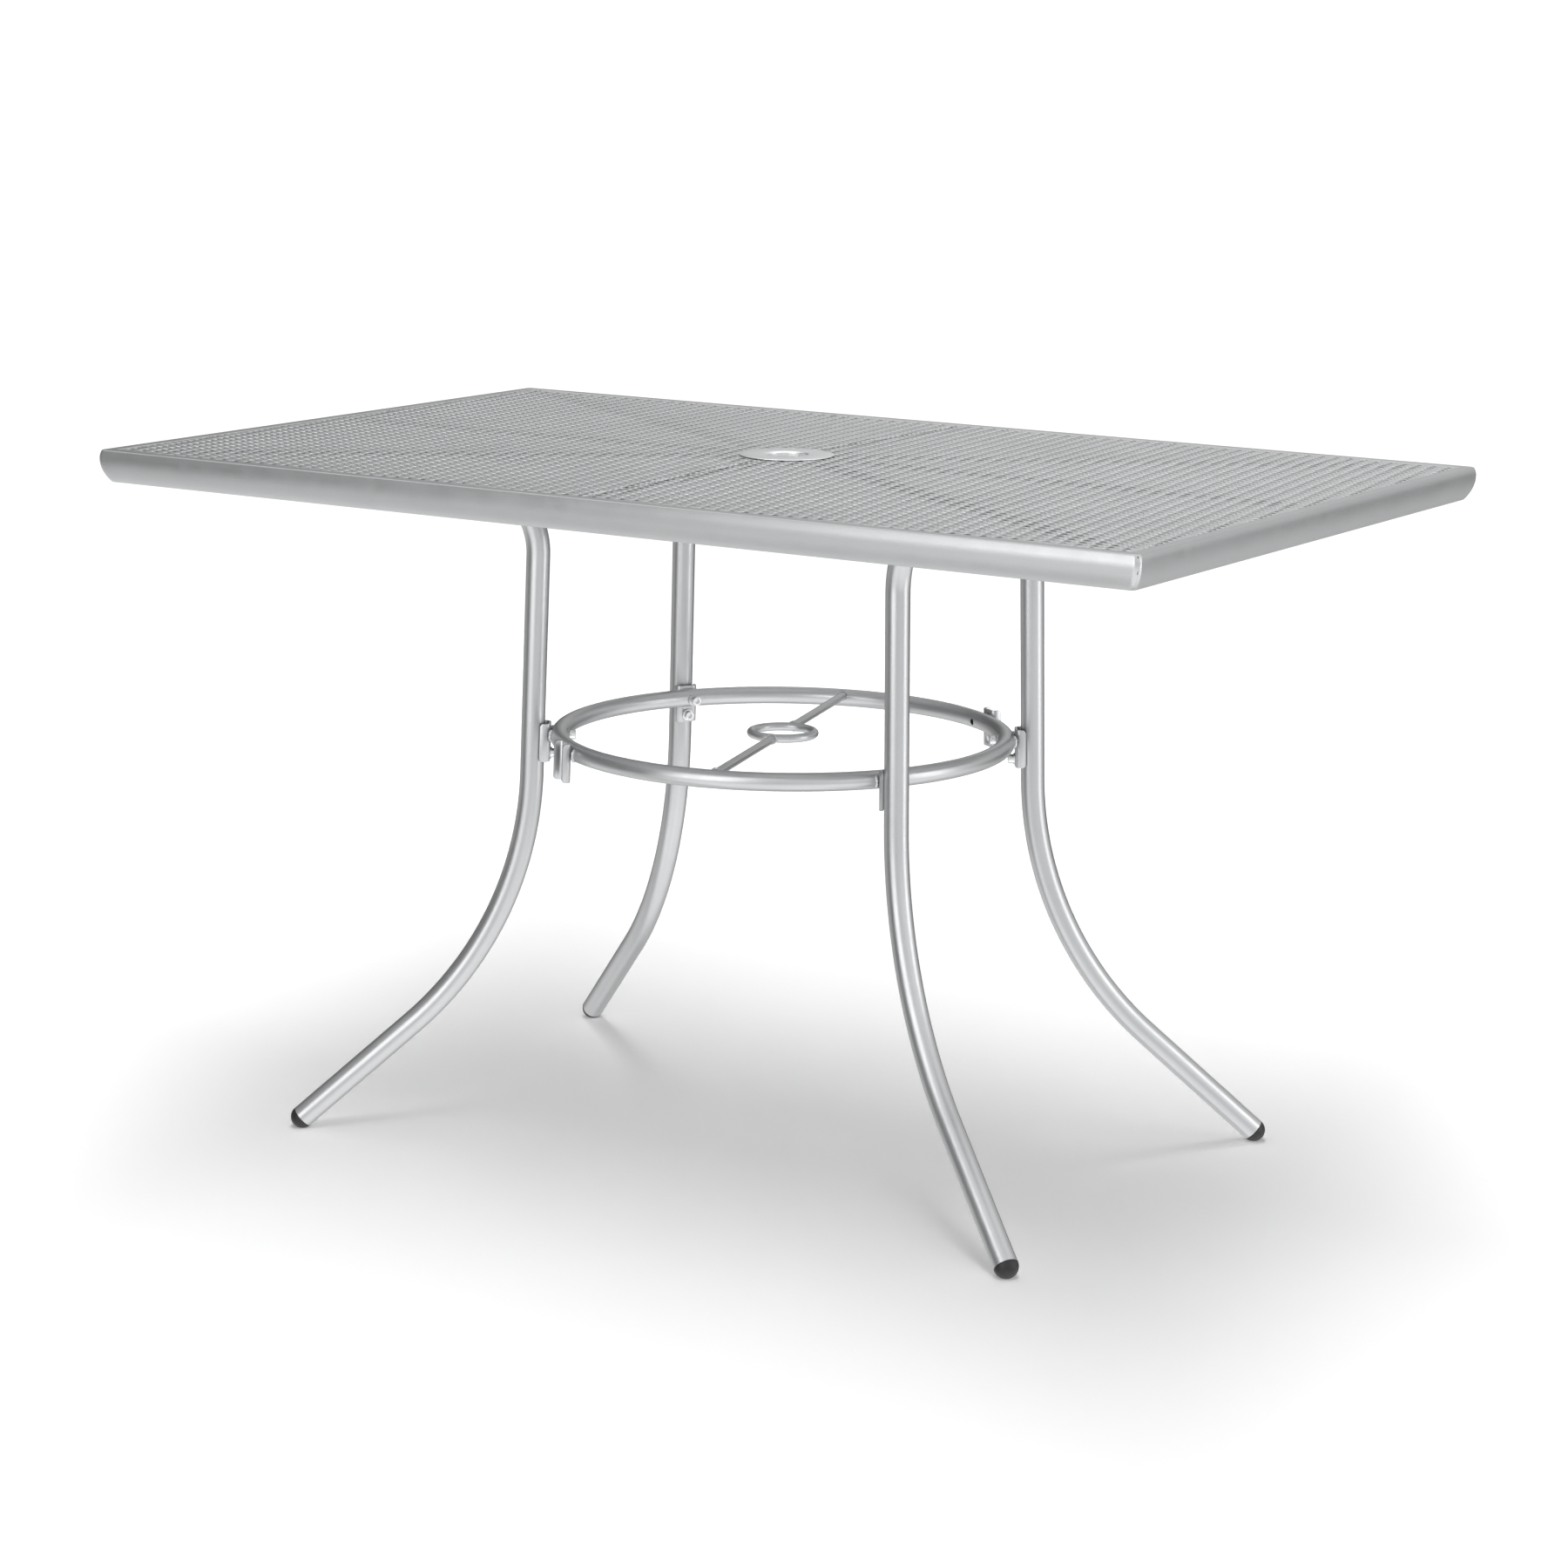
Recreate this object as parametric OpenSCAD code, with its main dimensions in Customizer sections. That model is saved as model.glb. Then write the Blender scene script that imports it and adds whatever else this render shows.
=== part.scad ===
// Rectangular garden table with a mesh top, bent tube legs and a bolted ring brace.
// Millimetres, +Z up, origin on the floor under the centre of the top, long side along X.

/* [Table top] */
// Length of the top over the rims
top_l = 1220; // [1000:5:1600]
// Width of the top over the rims
top_w = 770; // [650:5:1000]
// Height of the rims above the floor
top_h = 734; // [690:1:760]
// Height of the rolled rim profile
rim_h = 34; // [28:1:44]
// Width of the flat lip between the mesh and the rim's outer face
lip_w = 15; // [11:0.5:22]
// Thickness of the rim's sheet steel
rim_t = 1.6; // [1.2:0.1:2]
// Thickness of the flattened mesh
mesh_t = 1.5; // [1:0.1:1.9]
// Rise of the mesh from the rims to the centre
crown = 4; // [1:0.5:7]
// Columns of diamond openings in each mesh sheet
mesh_columns = 6; // [4:1:6]
// Rows of diamond openings in each mesh sheet
mesh_rows = 8; // [6:1:10]
// Width of the strands between the openings
strand_w = 18; // [14:1:24]
// Width of the flat braces under the mesh
brace_w = 30; // [22:1:36]
// Thickness of the flat braces under the mesh
brace_t = 4; // [3:0.5:6]
// Radius of the hub plate where the braces meet
hub_r = 75; // [68:1:90]

/* [Umbrella hole] */
// Diameter of the pole bore
pole_d = 44; // [36:1:46]
// Outer diameter of the round cover plate
plate_d = 100; // [88:1:120]
// Thickness of the cover plate and of its sleeve
plate_t = 1.2; // [1:0.1:1.6]
// Length of the sleeve below the cover plate
sleeve_l = 24; // [16:1:40]

/* [Legs] */
// Outer diameter of the leg tube
leg_d = 25; // [24:0.5:27]
// Wall of the leg tube
leg_wall = 2; // [1.5:0.25:2.5]
// Distance from the table's centre to the leg axis where the lower bend starts
leg_u = 266; // [250:1:285]
// Height where the lower bend starts
bend_z = 395; // [380:1:400]
// Lean of the straight part, outward going down, in degrees
lean = 1.65; // [0.5:0.05:2.5]
// Centreline radius of the upper bend
upper_r = 86; // [70:1:110]
// Centreline radius of the lower bend
lower_r = 386; // [360:1:400]
// Angle of the foot from the vertical, in degrees
foot_a = 48.2; // [44:0.2:50]
// Distance from the table's centre to the end of the upper arm
arm_u = 560; // [500:5:580]

/* [Ring brace] */
// Height of the ring's centreline
ring_z = 438; // [434:1:446]
// Outer diameter of the ring tube
ring_d = 19; // [17:0.5:21]
// Wall of the ring tube
ring_wall = 1.5; // [1.25:0.25:2]
// Height of the channel brackets
clip_h = 41; // [38:1:46]
// Depth of the channel brackets
clip_depth = 11; // [10:0.5:13]
// Wall of the channel brackets
clip_t = 2.5; // [2:0.25:3]
// Distance between the two screws of a bracket
screw_gap = 20.5; // [19.5:0.5:22]
// Direction of the cross rod from the X axis, in degrees
rod_a = 105; // [95:1:120]
// Diameter of the cross rods and of the centre ring's rod
rod_d = 9; // [7:0.5:10]
// Outer diameter of the centre ring
centre_d = 76; // [66:1:86]

/* [Hidden] */
$fn = 96;
leg_r = leg_d / 2;
ring_r = ring_d / 2;
rod_r = rod_d / 2;
corner_a = atan2(top_w, top_l);
LEG_ANGLES = [corner_a, 180 - corner_a, 180 + corner_a, 360 - corner_a];
SPARE_ANGLES = [90 - corner_a, 270 - corner_a];
rod_z = ring_z + 4;

// Levels of the mesh and of what lies under it
mesh_top = top_h - 0.4;
mesh_bottom = mesh_top - mesh_t;
flange_bottom = mesh_bottom - rim_t;
mesh_x = top_l / 2 - lip_w - 0.7;
mesh_y = top_w / 2 - lip_w - 0.7;
mesh_corner = norm([mesh_x, mesh_y]);
flange_w = 14;
brace_gap = 0.2;
hub_top = mesh_bottom + crown * (1 - hub_r / mesh_y) - 0.05;
sleeve_clear = 0.5;
mesh_hole_r = pole_d / 2 + plate_t + sleeve_clear;
plate_z = mesh_top + crown * (1 - mesh_hole_r / mesh_x) + 0.02;

// Rim profile: a bulged outer wall made of two arcs, with small rounded edges
bulge_z = 9;
bulge_upper_r = 21;
bulge_lower_r = 39;
edge_r = 1.8;
upper_a = asin((bulge_z - edge_r) / (bulge_upper_r - edge_r));
lower_a = asin((rim_h - bulge_z - edge_r) / (bulge_lower_r - edge_r));
lip_start = bulge_upper_r - (bulge_upper_r - edge_r) * cos(upper_a);
foot_start = bulge_lower_r - (bulge_lower_r - edge_r) * cos(lower_a);
return_w = 6;

// Leg centreline in its own upright plane: u runs outward, z runs up
drop = atan2(crown, mesh_corner);
arm_line = mesh_bottom + crown - brace_gap - brace_t / cos(drop) - (leg_r + 0.02) / cos(drop);
low_start = [leg_u, bend_z];
up_start_z = (arm_line - tan(drop) * (leg_u + bend_z * tan(lean) + upper_r * (cos(lean) + sin(drop)))
    - upper_r * (sin(lean) + cos(drop))) / (1 - tan(drop) * tan(lean));
up_start = [leg_u - (up_start_z - bend_z) * tan(lean), up_start_z];
up_centre = up_start + upper_r * [cos(lean), sin(lean)];
arm_start = up_centre + upper_r * [sin(drop), cos(drop)];
arm_end = [arm_u, arm_start[1] - (arm_u - arm_start[0]) * tan(drop)];
low_centre = low_start + lower_r * [cos(lean), sin(lean)];
foot_start_uz = low_centre - lower_r * [cos(foot_a), sin(foot_a)];
foot_z = leg_r * sin(foot_a) + 2;
foot_len = (foot_start_uz[1] - foot_z) / cos(foot_a);
foot_end = foot_start_uz + foot_len * [sin(foot_a), -cos(foot_a)];
ARM_SCREWS = [400, arm_u - 40];
bend_slip = 0.03;
joint_lap = 0.05;

// Bracket places, measured from the leg axis in the leg's leaning frame
clip_w = leg_d - 0.4;
clip_inner = clip_w / 2 - clip_t;
lip_x = -sqrt(leg_r * leg_r - clip_inner * clip_inner) - 0.05;
back_x = lip_x - clip_depth;
ring_leg_u = leg_u - (ring_z - bend_z) * tan(lean);
tube_x = back_x - ring_r - 0.02;
ring_u = ring_leg_u + tube_x / cos(lean);
clip_above = 12.3;
clip_corner = 4;
clip_round = 6;

// Fasteners: metric six socket screws, washers and rivet nuts
screw_d = 6;
hole_d = 7;
nut_bore = 6.1;
nut_d = 8.8;
nut_hole = 9;
head_d = 10;
head_l = 6;
socket_d = 5.77;
saddle_t = 1.5;
washer_t = 1.6;
washer_d = 12.5;
saddle_d = 15;

function arc(centre, r, a0, a1, steps) =
    [for (i = [0 : steps]) centre + r * [cos(a0 + (a1 - a0) * i / steps), sin(a0 + (a1 - a0) * i / steps)]];

// Outer or inner line of the rim's wall, from the lip down to the turned-in foot
function wall_line(inset) = concat(
    arc([-lip_start, -edge_r], edge_r - inset, 90, upper_a, 4),
    arc([-bulge_upper_r, -bulge_z], bulge_upper_r - inset, upper_a, 0, 6),
    arc([-bulge_lower_r, -bulge_z], bulge_lower_r - inset, -3, -lower_a, 10),
    arc([-foot_start, -rim_h + edge_r], edge_r - inset, -lower_a - 10, -90, 4));

function reversed(list) = [for (i = [len(list) - 1 : -1 : 0]) list[i]];

module rim_profile() {
    flange_top_y = mesh_bottom - top_h;
    polygon(concat(
        [[-lip_w - flange_w, flange_top_y - rim_t], [-lip_w - flange_w, flange_top_y],
            [-lip_w - 0.5, flange_top_y], [-lip_w, 0]],
        wall_line(0),
        [[-foot_start - return_w, -rim_h], [-foot_start - return_w, -rim_h + rim_t]],
        reversed(wall_line(rim_t)),
        [[-lip_w + rim_t, -rim_t], [-lip_w + rim_t - 0.5, flange_top_y - rim_t]]));
}

// One mitred rim with its outer face at y = -half
module rim(length, half) {
    cut = lip_w + flange_w + 20;
    intersection() {
        translate([length / 2, -half, top_h])
            rotate([90, 0, -90])
                linear_extrude(length)
                    rim_profile();
        translate([0, 0, top_h - rim_h - 5])
            linear_extrude(rim_h + 10)
                polygon([[-length / 2, -half], [length / 2, -half],
                    [length / 2 - cut, -half + cut], [-length / 2 + cut, -half + cut]]);
    }
}

// Staggered diamonds, long way along X, through a right-hand mesh sheet. The border, the
// seam and the ground under the cover plate stay whole.
module diamonds() {
    cell = [mesh_x / mesh_columns, 2 * mesh_y / mesh_rows];
    open = (1 - strand_w * norm(cell) / (cell[0] * cell[1])) * cell / 2;
    for (i = [1 : 2 * mesh_columns - 1], j = [1 : 2 * mesh_rows - 1]) {
        centre = [i * cell[0] / 2, j * cell[1] / 2 - mesh_y];
        if ((i + j) % 2 == 0 && norm(centre) > hub_r + 5)
            translate([centre[0], centre[1], mesh_bottom - 10])
                linear_extrude(crown + 30)
                    polygon([[open[0], 0], [0, open[1]], [-open[0], 0], [0, -open[1]]]);
    }
}

// Right-hand mesh sheet: three flat faces that rise to the centre of the table
module mesh_sheet() {
    plan = [[0, -mesh_y], [mesh_x, -mesh_y], [mesh_x, mesh_y], [0, mesh_y], [0, 0]];
    rise = [0, 0, 0, 0, crown];
    points = concat(
        [for (i = [0 : 4]) [plan[i][0], plan[i][1], mesh_top + rise[i]]],
        [for (i = [0 : 4]) [plan[i][0], plan[i][1], mesh_bottom + rise[i]]]);
    difference() {
        polyhedron(points, [[0, 4, 1], [1, 4, 2], [2, 4, 3], [5, 6, 9], [6, 7, 9], [7, 8, 9],
            [0, 1, 6, 5], [1, 2, 7, 6], [2, 3, 8, 7], [3, 4, 9, 8], [4, 0, 5, 9]]);
        translate([0, 0, mesh_bottom - 10])
            cylinder(h = crown + 30, r = mesh_hole_r);
        diamonds();
    }
}

// Cover plate with a sleeve that guides the umbrella pole, joined by a rolled edge
module umbrella_plate() {
    bore_r = pole_d / 2;
    roll = plate_t + 0.8;
    color("gainsboro")
        translate([0, 0, plate_z])
            rotate_extrude() {
                translate([bore_r + roll, 0]) square([plate_d / 2 - bore_r - roll, plate_t]);
                intersection() {
                    translate([bore_r + roll, plate_t - roll])
                        difference() {
                            circle(roll);
                            circle(roll - plate_t);
                        }
                    translate([bore_r, plate_t - roll]) square(roll);
                }
                translate([bore_r, -sleeve_l]) square([plate_t, sleeve_l + plate_t - roll]);
            }
}

module hub_plate() {
    color("darkgray")
        translate([0, 0, hub_top - brace_t])
            difference() {
                cylinder(h = brace_t, r = hub_r);
                translate([0, 0, -1]) cylinder(h = brace_t + 2, r = pole_d / 2 + plate_t + 0.1);
            }
}

// Room taken by the rims' inner flanges, which the brace ends lap under
module flange_room() {
    half_x = top_l / 2 - lip_w - flange_w - 0.5;
    half_y = top_w / 2 - lip_w - flange_w - 0.5;
    translate([0, 0, flange_bottom - 0.1])
        linear_extrude(20)
            difference() {
                square([top_l, top_w], center = true);
                square([2 * half_x, 2 * half_y], center = true);
            }
}

// Flat brace from the hub toward the rims, sloping with the mesh above it
module brace(angle, reach) {
    half_x = top_l / 2 - lip_w - 3;
    half_y = top_w / 2 - lip_w - 3;
    color("darkgray")
        difference() {
            intersection() {
                rotate([0, 0, angle])
                    translate([0, 0, mesh_bottom + crown - brace_gap])
                        rotate([0, atan2(crown, reach), 0])
                            translate([hub_r - 10, -brace_w / 2, -brace_t])
                                cube([reach, brace_w, brace_t]);
                translate([-half_x, -half_y, top_h - 40])
                    cube([2 * half_x, 2 * half_y, 60]);
            }
            translate([0, 0, top_h - 40]) cylinder(h = 80, r = hub_r + 0.05);
            flange_room();
        }
}

module corner_brace(angle) {
    color("darkgray")
        difference() {
            brace(angle, mesh_corner);
            on_arm(angle) translate([0, 0, -1]) cylinder(h = leg_d, d = nut_bore);
        }
}

// Upright plane of one leg
module on_leg_plane(angle) {
    rotate([0, 0, angle]) children();
}

// Straight round bar between two points of the leg plane, longer by extra at both ends
module straight(from, to, r, extra = 0) {
    d = to - from;
    translate([from[0], 0, from[1]])
        rotate([0, atan2(d[0], d[1]), 0])
            translate([0, 0, -extra])
                cylinder(h = norm(d) + 2 * extra, r = r);
}

// Round bend of the leg plane, about centre, from angle a0 through sweep
module bend(centre, radius, a0, sweep, r) {
    translate([centre[0], 0, centre[1]])
        rotate([90, 0, 0])
            rotate([0, 0, a0])
                rotate_extrude(angle = sweep)
                    translate([radius, 0]) circle(r);
}

// Whole leg centreline as a solid bar. The bends are thinner by slip, so that each end face
// of a bend lies inside the end face of the straight part that it runs into.
module leg_bar(r, slip, extra) {
    arm_dir = [cos(drop), -sin(drop)];
    foot_dir = [sin(foot_a), -cos(foot_a)];
    straight(arm_end + extra * arm_dir, arm_start - joint_lap * arm_dir, r);
    bend(up_centre, upper_r, 90 - drop, 90 + drop + lean, r - slip);
    straight(up_start, low_start, r, joint_lap);
    bend(low_centre, lower_r, 180 + lean, foot_a - lean, r - slip);
    straight(foot_start_uz - joint_lap * foot_dir, foot_end + extra * foot_dir, r);
}

// Frame of a bracket: on the leg axis at the ring's height, leaning with the leg
module at_bracket(angle) {
    rotate([0, 0, angle])
        translate([ring_leg_u, 0, ring_z])
            rotate([0, -lean, 0])
                children();
}

// Radial bar in a bracket's frame, from x0 to x1 at height z
module radial(x0, x1, z, d) {
    translate([x0, 0, z])
        rotate([0, 90, 0])
            cylinder(h = x1 - x0, d = d);
}

// The places of the screws that go up through one arm, along the arm's own normal
module on_arm(angle) {
    rotate([0, 0, angle])
        for (u = ARM_SCREWS)
            translate([u, 0, arm_start[1] - (u - arm_start[0]) * tan(drop)])
                rotate([0, drop, 0])
                    children();
}

module leg(angle) {
    color("silver")
        difference() {
            on_leg_plane(angle) leg_bar(leg_r, bend_slip, 0);
            on_leg_plane(angle) leg_bar(leg_r - leg_wall, bend_slip, 1);
            at_bracket(angle) {
                radial(-leg_r - 2, 0, 0, nut_hole);
                radial(-leg_r - 2, 0, -screw_gap, nut_hole);
            }
            on_arm(angle) translate([0, 0, -leg_d]) cylinder(h = 2 * leg_d, d = screw_d + 0.4);
        }
}

// Black domed cap, cut flat where it stands on the floor
module foot_cap(angle) {
    cap_r = leg_r + 0.1;
    color("black")
        rotate([0, 0, angle])
            intersection() {
                translate([foot_end[0], 0, foot_end[1]])
                    rotate([0, 180 - foot_a, 0]) {
                        translate([0, 0, 0.02])
                            intersection() {
                                sphere(r = cap_r);
                                cylinder(h = 2 * cap_r, r = 2 * cap_r);
                            }
                        translate([0, 0, -18]) cylinder(h = 19, r = leg_r - leg_wall - 0.1);
                    }
                translate([foot_end[0] - 50, -50, 0]) cube([100, 100, 100]);
            }
}

module arm_plug(angle) {
    color("black")
        rotate([0, 0, angle])
            translate([arm_end[0], 0, arm_end[1]])
                rotate([0, 90 + drop, 0]) {
                    translate([0, 0, 0.02]) cylinder(h = 2.5, r = leg_r - 0.1);
                    translate([0, 0, -16]) cylinder(h = 17, r = leg_r - leg_wall - 0.1);
                }
}

module ring_solid(r) {
    translate([0, 0, ring_z])
        rotate_extrude()
            translate([ring_u, 0]) circle(r);
}

module ring_tube() {
    color("silver")
        difference() {
            ring_solid(ring_r);
            ring_solid(ring_r - ring_wall);
            for (angle = concat(LEG_ANGLES, SPARE_ANGLES))
                at_bracket(angle) radial(tube_x - ring_d, tube_x + ring_d - 6, 0, hole_d);
        }
}

module centre_ring_solid() {
    translate([0, 0, rod_z])
        rotate_extrude()
            translate([centre_d / 2 - rod_r, 0]) circle(rod_r);
}

module centre_ring() {
    color("silver") centre_ring_solid();
}

module cross_rod(angle) {
    color("silver")
        difference() {
            rotate([0, 0, angle])
                translate([0, 0, rod_z])
                    rotate([0, 90, 0])
                        translate([0, 0, centre_d / 2 - rod_r])
                            cylinder(h = ring_u - centre_d / 2 + rod_r, r = rod_r - 0.05);
            centre_ring_solid();
            ring_solid(ring_r);
        }
}

// Section of the channel bracket across the leg, rounded where the web meets the sides
module channel_outline(inset) {
    x0 = back_x + inset;
    half = clip_w / 2 - inset;
    r = clip_round - inset;
    x1 = lip_x + (inset > 0 ? 5 : 0);
    translate([x0 + r, -half]) square([x1 - x0 - r, 2 * half]);
    translate([x0, -half + r]) square([r, 2 * half - 2 * r]);
    for (side = [-1, 1])
        translate([x0 + r, side * (half - r)]) circle(r);
}

// Side view of the bracket, with the corners beside the leg rounded
module bracket_side() {
    low = clip_above - clip_h;
    c = clip_corner;
    translate([back_x - 1, low]) square([lip_x - back_x + 1 - c, clip_h]);
    translate([lip_x - c - 0.5, low + c]) square([c + 0.5, clip_h - 2 * c]);
    for (z = [low + c, clip_above - c])
        translate([lip_x - c, z]) circle(c);
}

module bracket(angle) {
    color("silver")
        at_bracket(angle)
            difference() {
                intersection() {
                    translate([0, 0, clip_above - clip_h])
                        linear_extrude(clip_h)
                            difference() {
                                channel_outline(0);
                                channel_outline(clip_t);
                            }
                    rotate([90, 0, 0])
                        translate([0, 0, -clip_w])
                            linear_extrude(2 * clip_w)
                                bracket_side();
                }
                radial(back_x - 5, lip_x, 0, hole_d);
                radial(back_x - 5, lip_x, -screw_gap, hole_d);
            }
}

// Socket head screw along +X with its head's seat at x = 0
module screw(length) {
    difference() {
        union() {
            radial(-head_l, 0, 0, head_d);
            radial(-0.5, length, 0, screw_d);
        }
        translate([-head_l - 1, 0, 0])
            rotate([0, 90, 0])
                cylinder(h = 4, d = socket_d, $fn = 6);
    }
}

saddle_seat = tube_x - ring_r - saddle_t - 0.02;
washer_seat = back_x - washer_t - 0.02;

module long_screws() {
    color("lightgray")
        for (angle = LEG_ANGLES)
            at_bracket(angle) translate([saddle_seat, 0, 0]) screw(40);
}

module short_screws() {
    color("lightgray")
        for (angle = LEG_ANGLES)
            at_bracket(angle) translate([washer_seat, 0, -screw_gap]) screw(20);
}

// Washers that are curved to sit on the ring tube
module saddle_washers() {
    color("silver")
        for (angle = LEG_ANGLES)
            difference() {
                intersection() {
                    ring_solid(ring_r + saddle_t);
                    at_bracket(angle) radial(tube_x - ring_d, tube_x - ring_r + 6, 0, saddle_d);
                }
                ring_solid(ring_r + 0.02);
                at_bracket(angle) radial(tube_x - 2 * ring_d, tube_x, 0, hole_d);
            }
}

module flat_washers() {
    color("silver")
        for (angle = LEG_ANGLES)
            at_bracket(angle)
                difference() {
                    radial(back_x - washer_t - 0.01, back_x - 0.01, -screw_gap, washer_d);
                    radial(back_x - 5, back_x + 1, -screw_gap, hole_d - 0.6);
                }
}

// Threaded rivet nuts in the legs, two behind each bracket
module rivet_nuts() {
    color("goldenrod")
        for (angle = LEG_ANGLES)
            at_bracket(angle)
                for (z = [0, -screw_gap])
                    difference() {
                        union() {
                            difference() {
                                radial(-leg_r - 0.9, -leg_r + 3, z, 11);
                                translate([0, 0, z - 10]) cylinder(h = 20, r = leg_r + 0.02);
                            }
                            radial(-leg_r - 0.5, -leg_r + 11, z, nut_d);
                        }
                        radial(-leg_r - 5, -leg_r + 12, z, nut_bore);
                    }
}

arm_washer_t = 1.6;

module arm_screws() {
    color("lightgray")
        for (angle = LEG_ANGLES)
            on_arm(angle)
                translate([0, 0, -leg_r - arm_washer_t - 0.04])
                    rotate([0, -90, 0])
                        screw(leg_d + brace_t + arm_washer_t - 0.3);
}

module arm_washers() {
    color("silver")
        for (angle = LEG_ANGLES)
            on_arm(angle)
                translate([0, 0, -leg_r - arm_washer_t - 0.02])
                    difference() {
                        cylinder(h = arm_washer_t, d = 12);
                        translate([0, 0, -1]) cylinder(h = 4, d = screw_d + 0.4);
                    }
}

color("silver") rim(top_l, top_w / 2);  // rim_front
color("silver") rotate([0, 0, 90]) rim(top_w, top_l / 2);  // rim_right
color("silver") rotate([0, 0, 180]) rim(top_l, top_w / 2);  // rim_back
color("silver") rotate([0, 0, 270]) rim(top_w, top_l / 2);  // rim_left
color("darkgray") rotate([0, 0, 180]) mesh_sheet();  // mesh_left
color("darkgray") mesh_sheet();  // mesh_right
umbrella_plate();
hub_plate();
brace(270, mesh_y);  // seam_brace_front
brace(90, mesh_y);  // seam_brace_back
brace(180, mesh_x);  // long_brace_left
brace(0, mesh_x);  // long_brace_right
corner_brace(LEG_ANGLES[0]);  // corner_brace_back_right
corner_brace(LEG_ANGLES[1]);  // corner_brace_back_left
corner_brace(LEG_ANGLES[2]);  // corner_brace_front_left
corner_brace(LEG_ANGLES[3]);  // corner_brace_front_right
leg(LEG_ANGLES[0]);  // leg_back_right
leg(LEG_ANGLES[1]);  // leg_back_left
leg(LEG_ANGLES[2]);  // leg_front_left
leg(LEG_ANGLES[3]);  // leg_front_right
foot_cap(LEG_ANGLES[0]);  // foot_cap_back_right
foot_cap(LEG_ANGLES[1]);  // foot_cap_back_left
foot_cap(LEG_ANGLES[2]);  // foot_cap_front_left
foot_cap(LEG_ANGLES[3]);  // foot_cap_front_right
arm_plug(LEG_ANGLES[0]);  // arm_plug_back_right
arm_plug(LEG_ANGLES[1]);  // arm_plug_back_left
arm_plug(LEG_ANGLES[2]);  // arm_plug_front_left
arm_plug(LEG_ANGLES[3]);  // arm_plug_front_right
ring_tube();
centre_ring();
cross_rod(rod_a + 180);  // cross_rod_front
cross_rod(rod_a);  // cross_rod_back
bracket(LEG_ANGLES[0]);  // bracket_back_right
bracket(LEG_ANGLES[1]);  // bracket_back_left
bracket(LEG_ANGLES[2]);  // bracket_front_left
bracket(LEG_ANGLES[3]);  // bracket_front_right
bracket(SPARE_ANGLES[0]);  // spare_bracket_back
bracket(SPARE_ANGLES[1]);  // spare_bracket_front
long_screws();
short_screws();
saddle_washers();
flat_washers();
rivet_nuts();
arm_screws();
arm_washers();
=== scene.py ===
"""Garden table with a mesh top, dressed for Blender: rolled rims, flattened expanded mesh,
bent tube legs, and a ring brace held by channel brackets and socket screws."""

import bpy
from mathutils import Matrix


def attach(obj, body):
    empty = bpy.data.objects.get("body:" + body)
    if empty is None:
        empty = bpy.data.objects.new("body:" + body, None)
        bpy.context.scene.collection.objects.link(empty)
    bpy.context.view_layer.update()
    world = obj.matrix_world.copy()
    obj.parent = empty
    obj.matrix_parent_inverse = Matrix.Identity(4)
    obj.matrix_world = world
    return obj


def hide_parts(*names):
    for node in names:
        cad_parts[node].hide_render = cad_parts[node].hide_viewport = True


bl_info = {
    "name": "Garden table",
    "version": (1, 0, 0),
    "blender": (4, 5, 0),
    "location": "View3D > Sidebar > Garden table",
    "description": "Models a metal garden table piece by piece on its construction frame",
    "category": "Object",
}

from math import asin, atan2, cos, hypot, pi, radians, sin, sqrt, tan

import bmesh
import bpy
from bpy.props import FloatProperty, FloatVectorProperty, PointerProperty
from mathutils import Matrix, Vector

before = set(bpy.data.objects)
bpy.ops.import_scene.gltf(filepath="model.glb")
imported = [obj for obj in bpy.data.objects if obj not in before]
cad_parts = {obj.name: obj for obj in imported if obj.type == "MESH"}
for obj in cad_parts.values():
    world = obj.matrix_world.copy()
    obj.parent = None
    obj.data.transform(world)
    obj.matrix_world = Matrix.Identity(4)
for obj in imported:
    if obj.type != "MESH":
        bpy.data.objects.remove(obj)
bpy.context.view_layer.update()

MM = 0.001
CORNER_ROUND = 6 * MM
UPPER_ROLL, LOWER_ROLL = 21 * MM, 39 * MM     # the two radii of the rolled rim
BULGE = 9 * MM           # where they meet, below the rim's top
FLANGE = 14 * MM         # the rim's ledge under the mesh
ROD_RISE = 4 * MM        # the cross rods above the ring's centreline
BOLT_HOLE = 3.5 * MM
RACK = (0.15, 0.304)     # how far the mesh is pulled out of square, across and along
CORNERS = ("back_right", "back_left", "front_left", "front_right")


# Properties that a user would change

def size(name, description, millimetres):
    return FloatProperty(name=name, description=description, default=millimetres * MM,
                         min=0.0, subtype="DISTANCE", unit="LENGTH")


def turn(name, description, degrees):
    return FloatProperty(name=name, description=description, default=radians(degrees),
                         subtype="ANGLE", unit="ROTATION")


def power(name, description, watts):
    return FloatProperty(name=name, description=description, default=watts, min=0.0,
                         unit="POWER")


def paint(name, description, code):
    return FloatVectorProperty(name=name, description=description, default=linear(code)[:3],
                               min=0.0, max=1.0, size=3, subtype="COLOR")


def linear(code):
    """Linear colour of an sRGB hex code."""
    channels = [int(code[i:i + 2], 16) / 255 for i in (1, 3, 5)]
    return tuple(c / 12.92 if c <= 0.04045 else ((c + 0.055) / 1.055) ** 2.4
                 for c in channels) + (1.0,)


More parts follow.
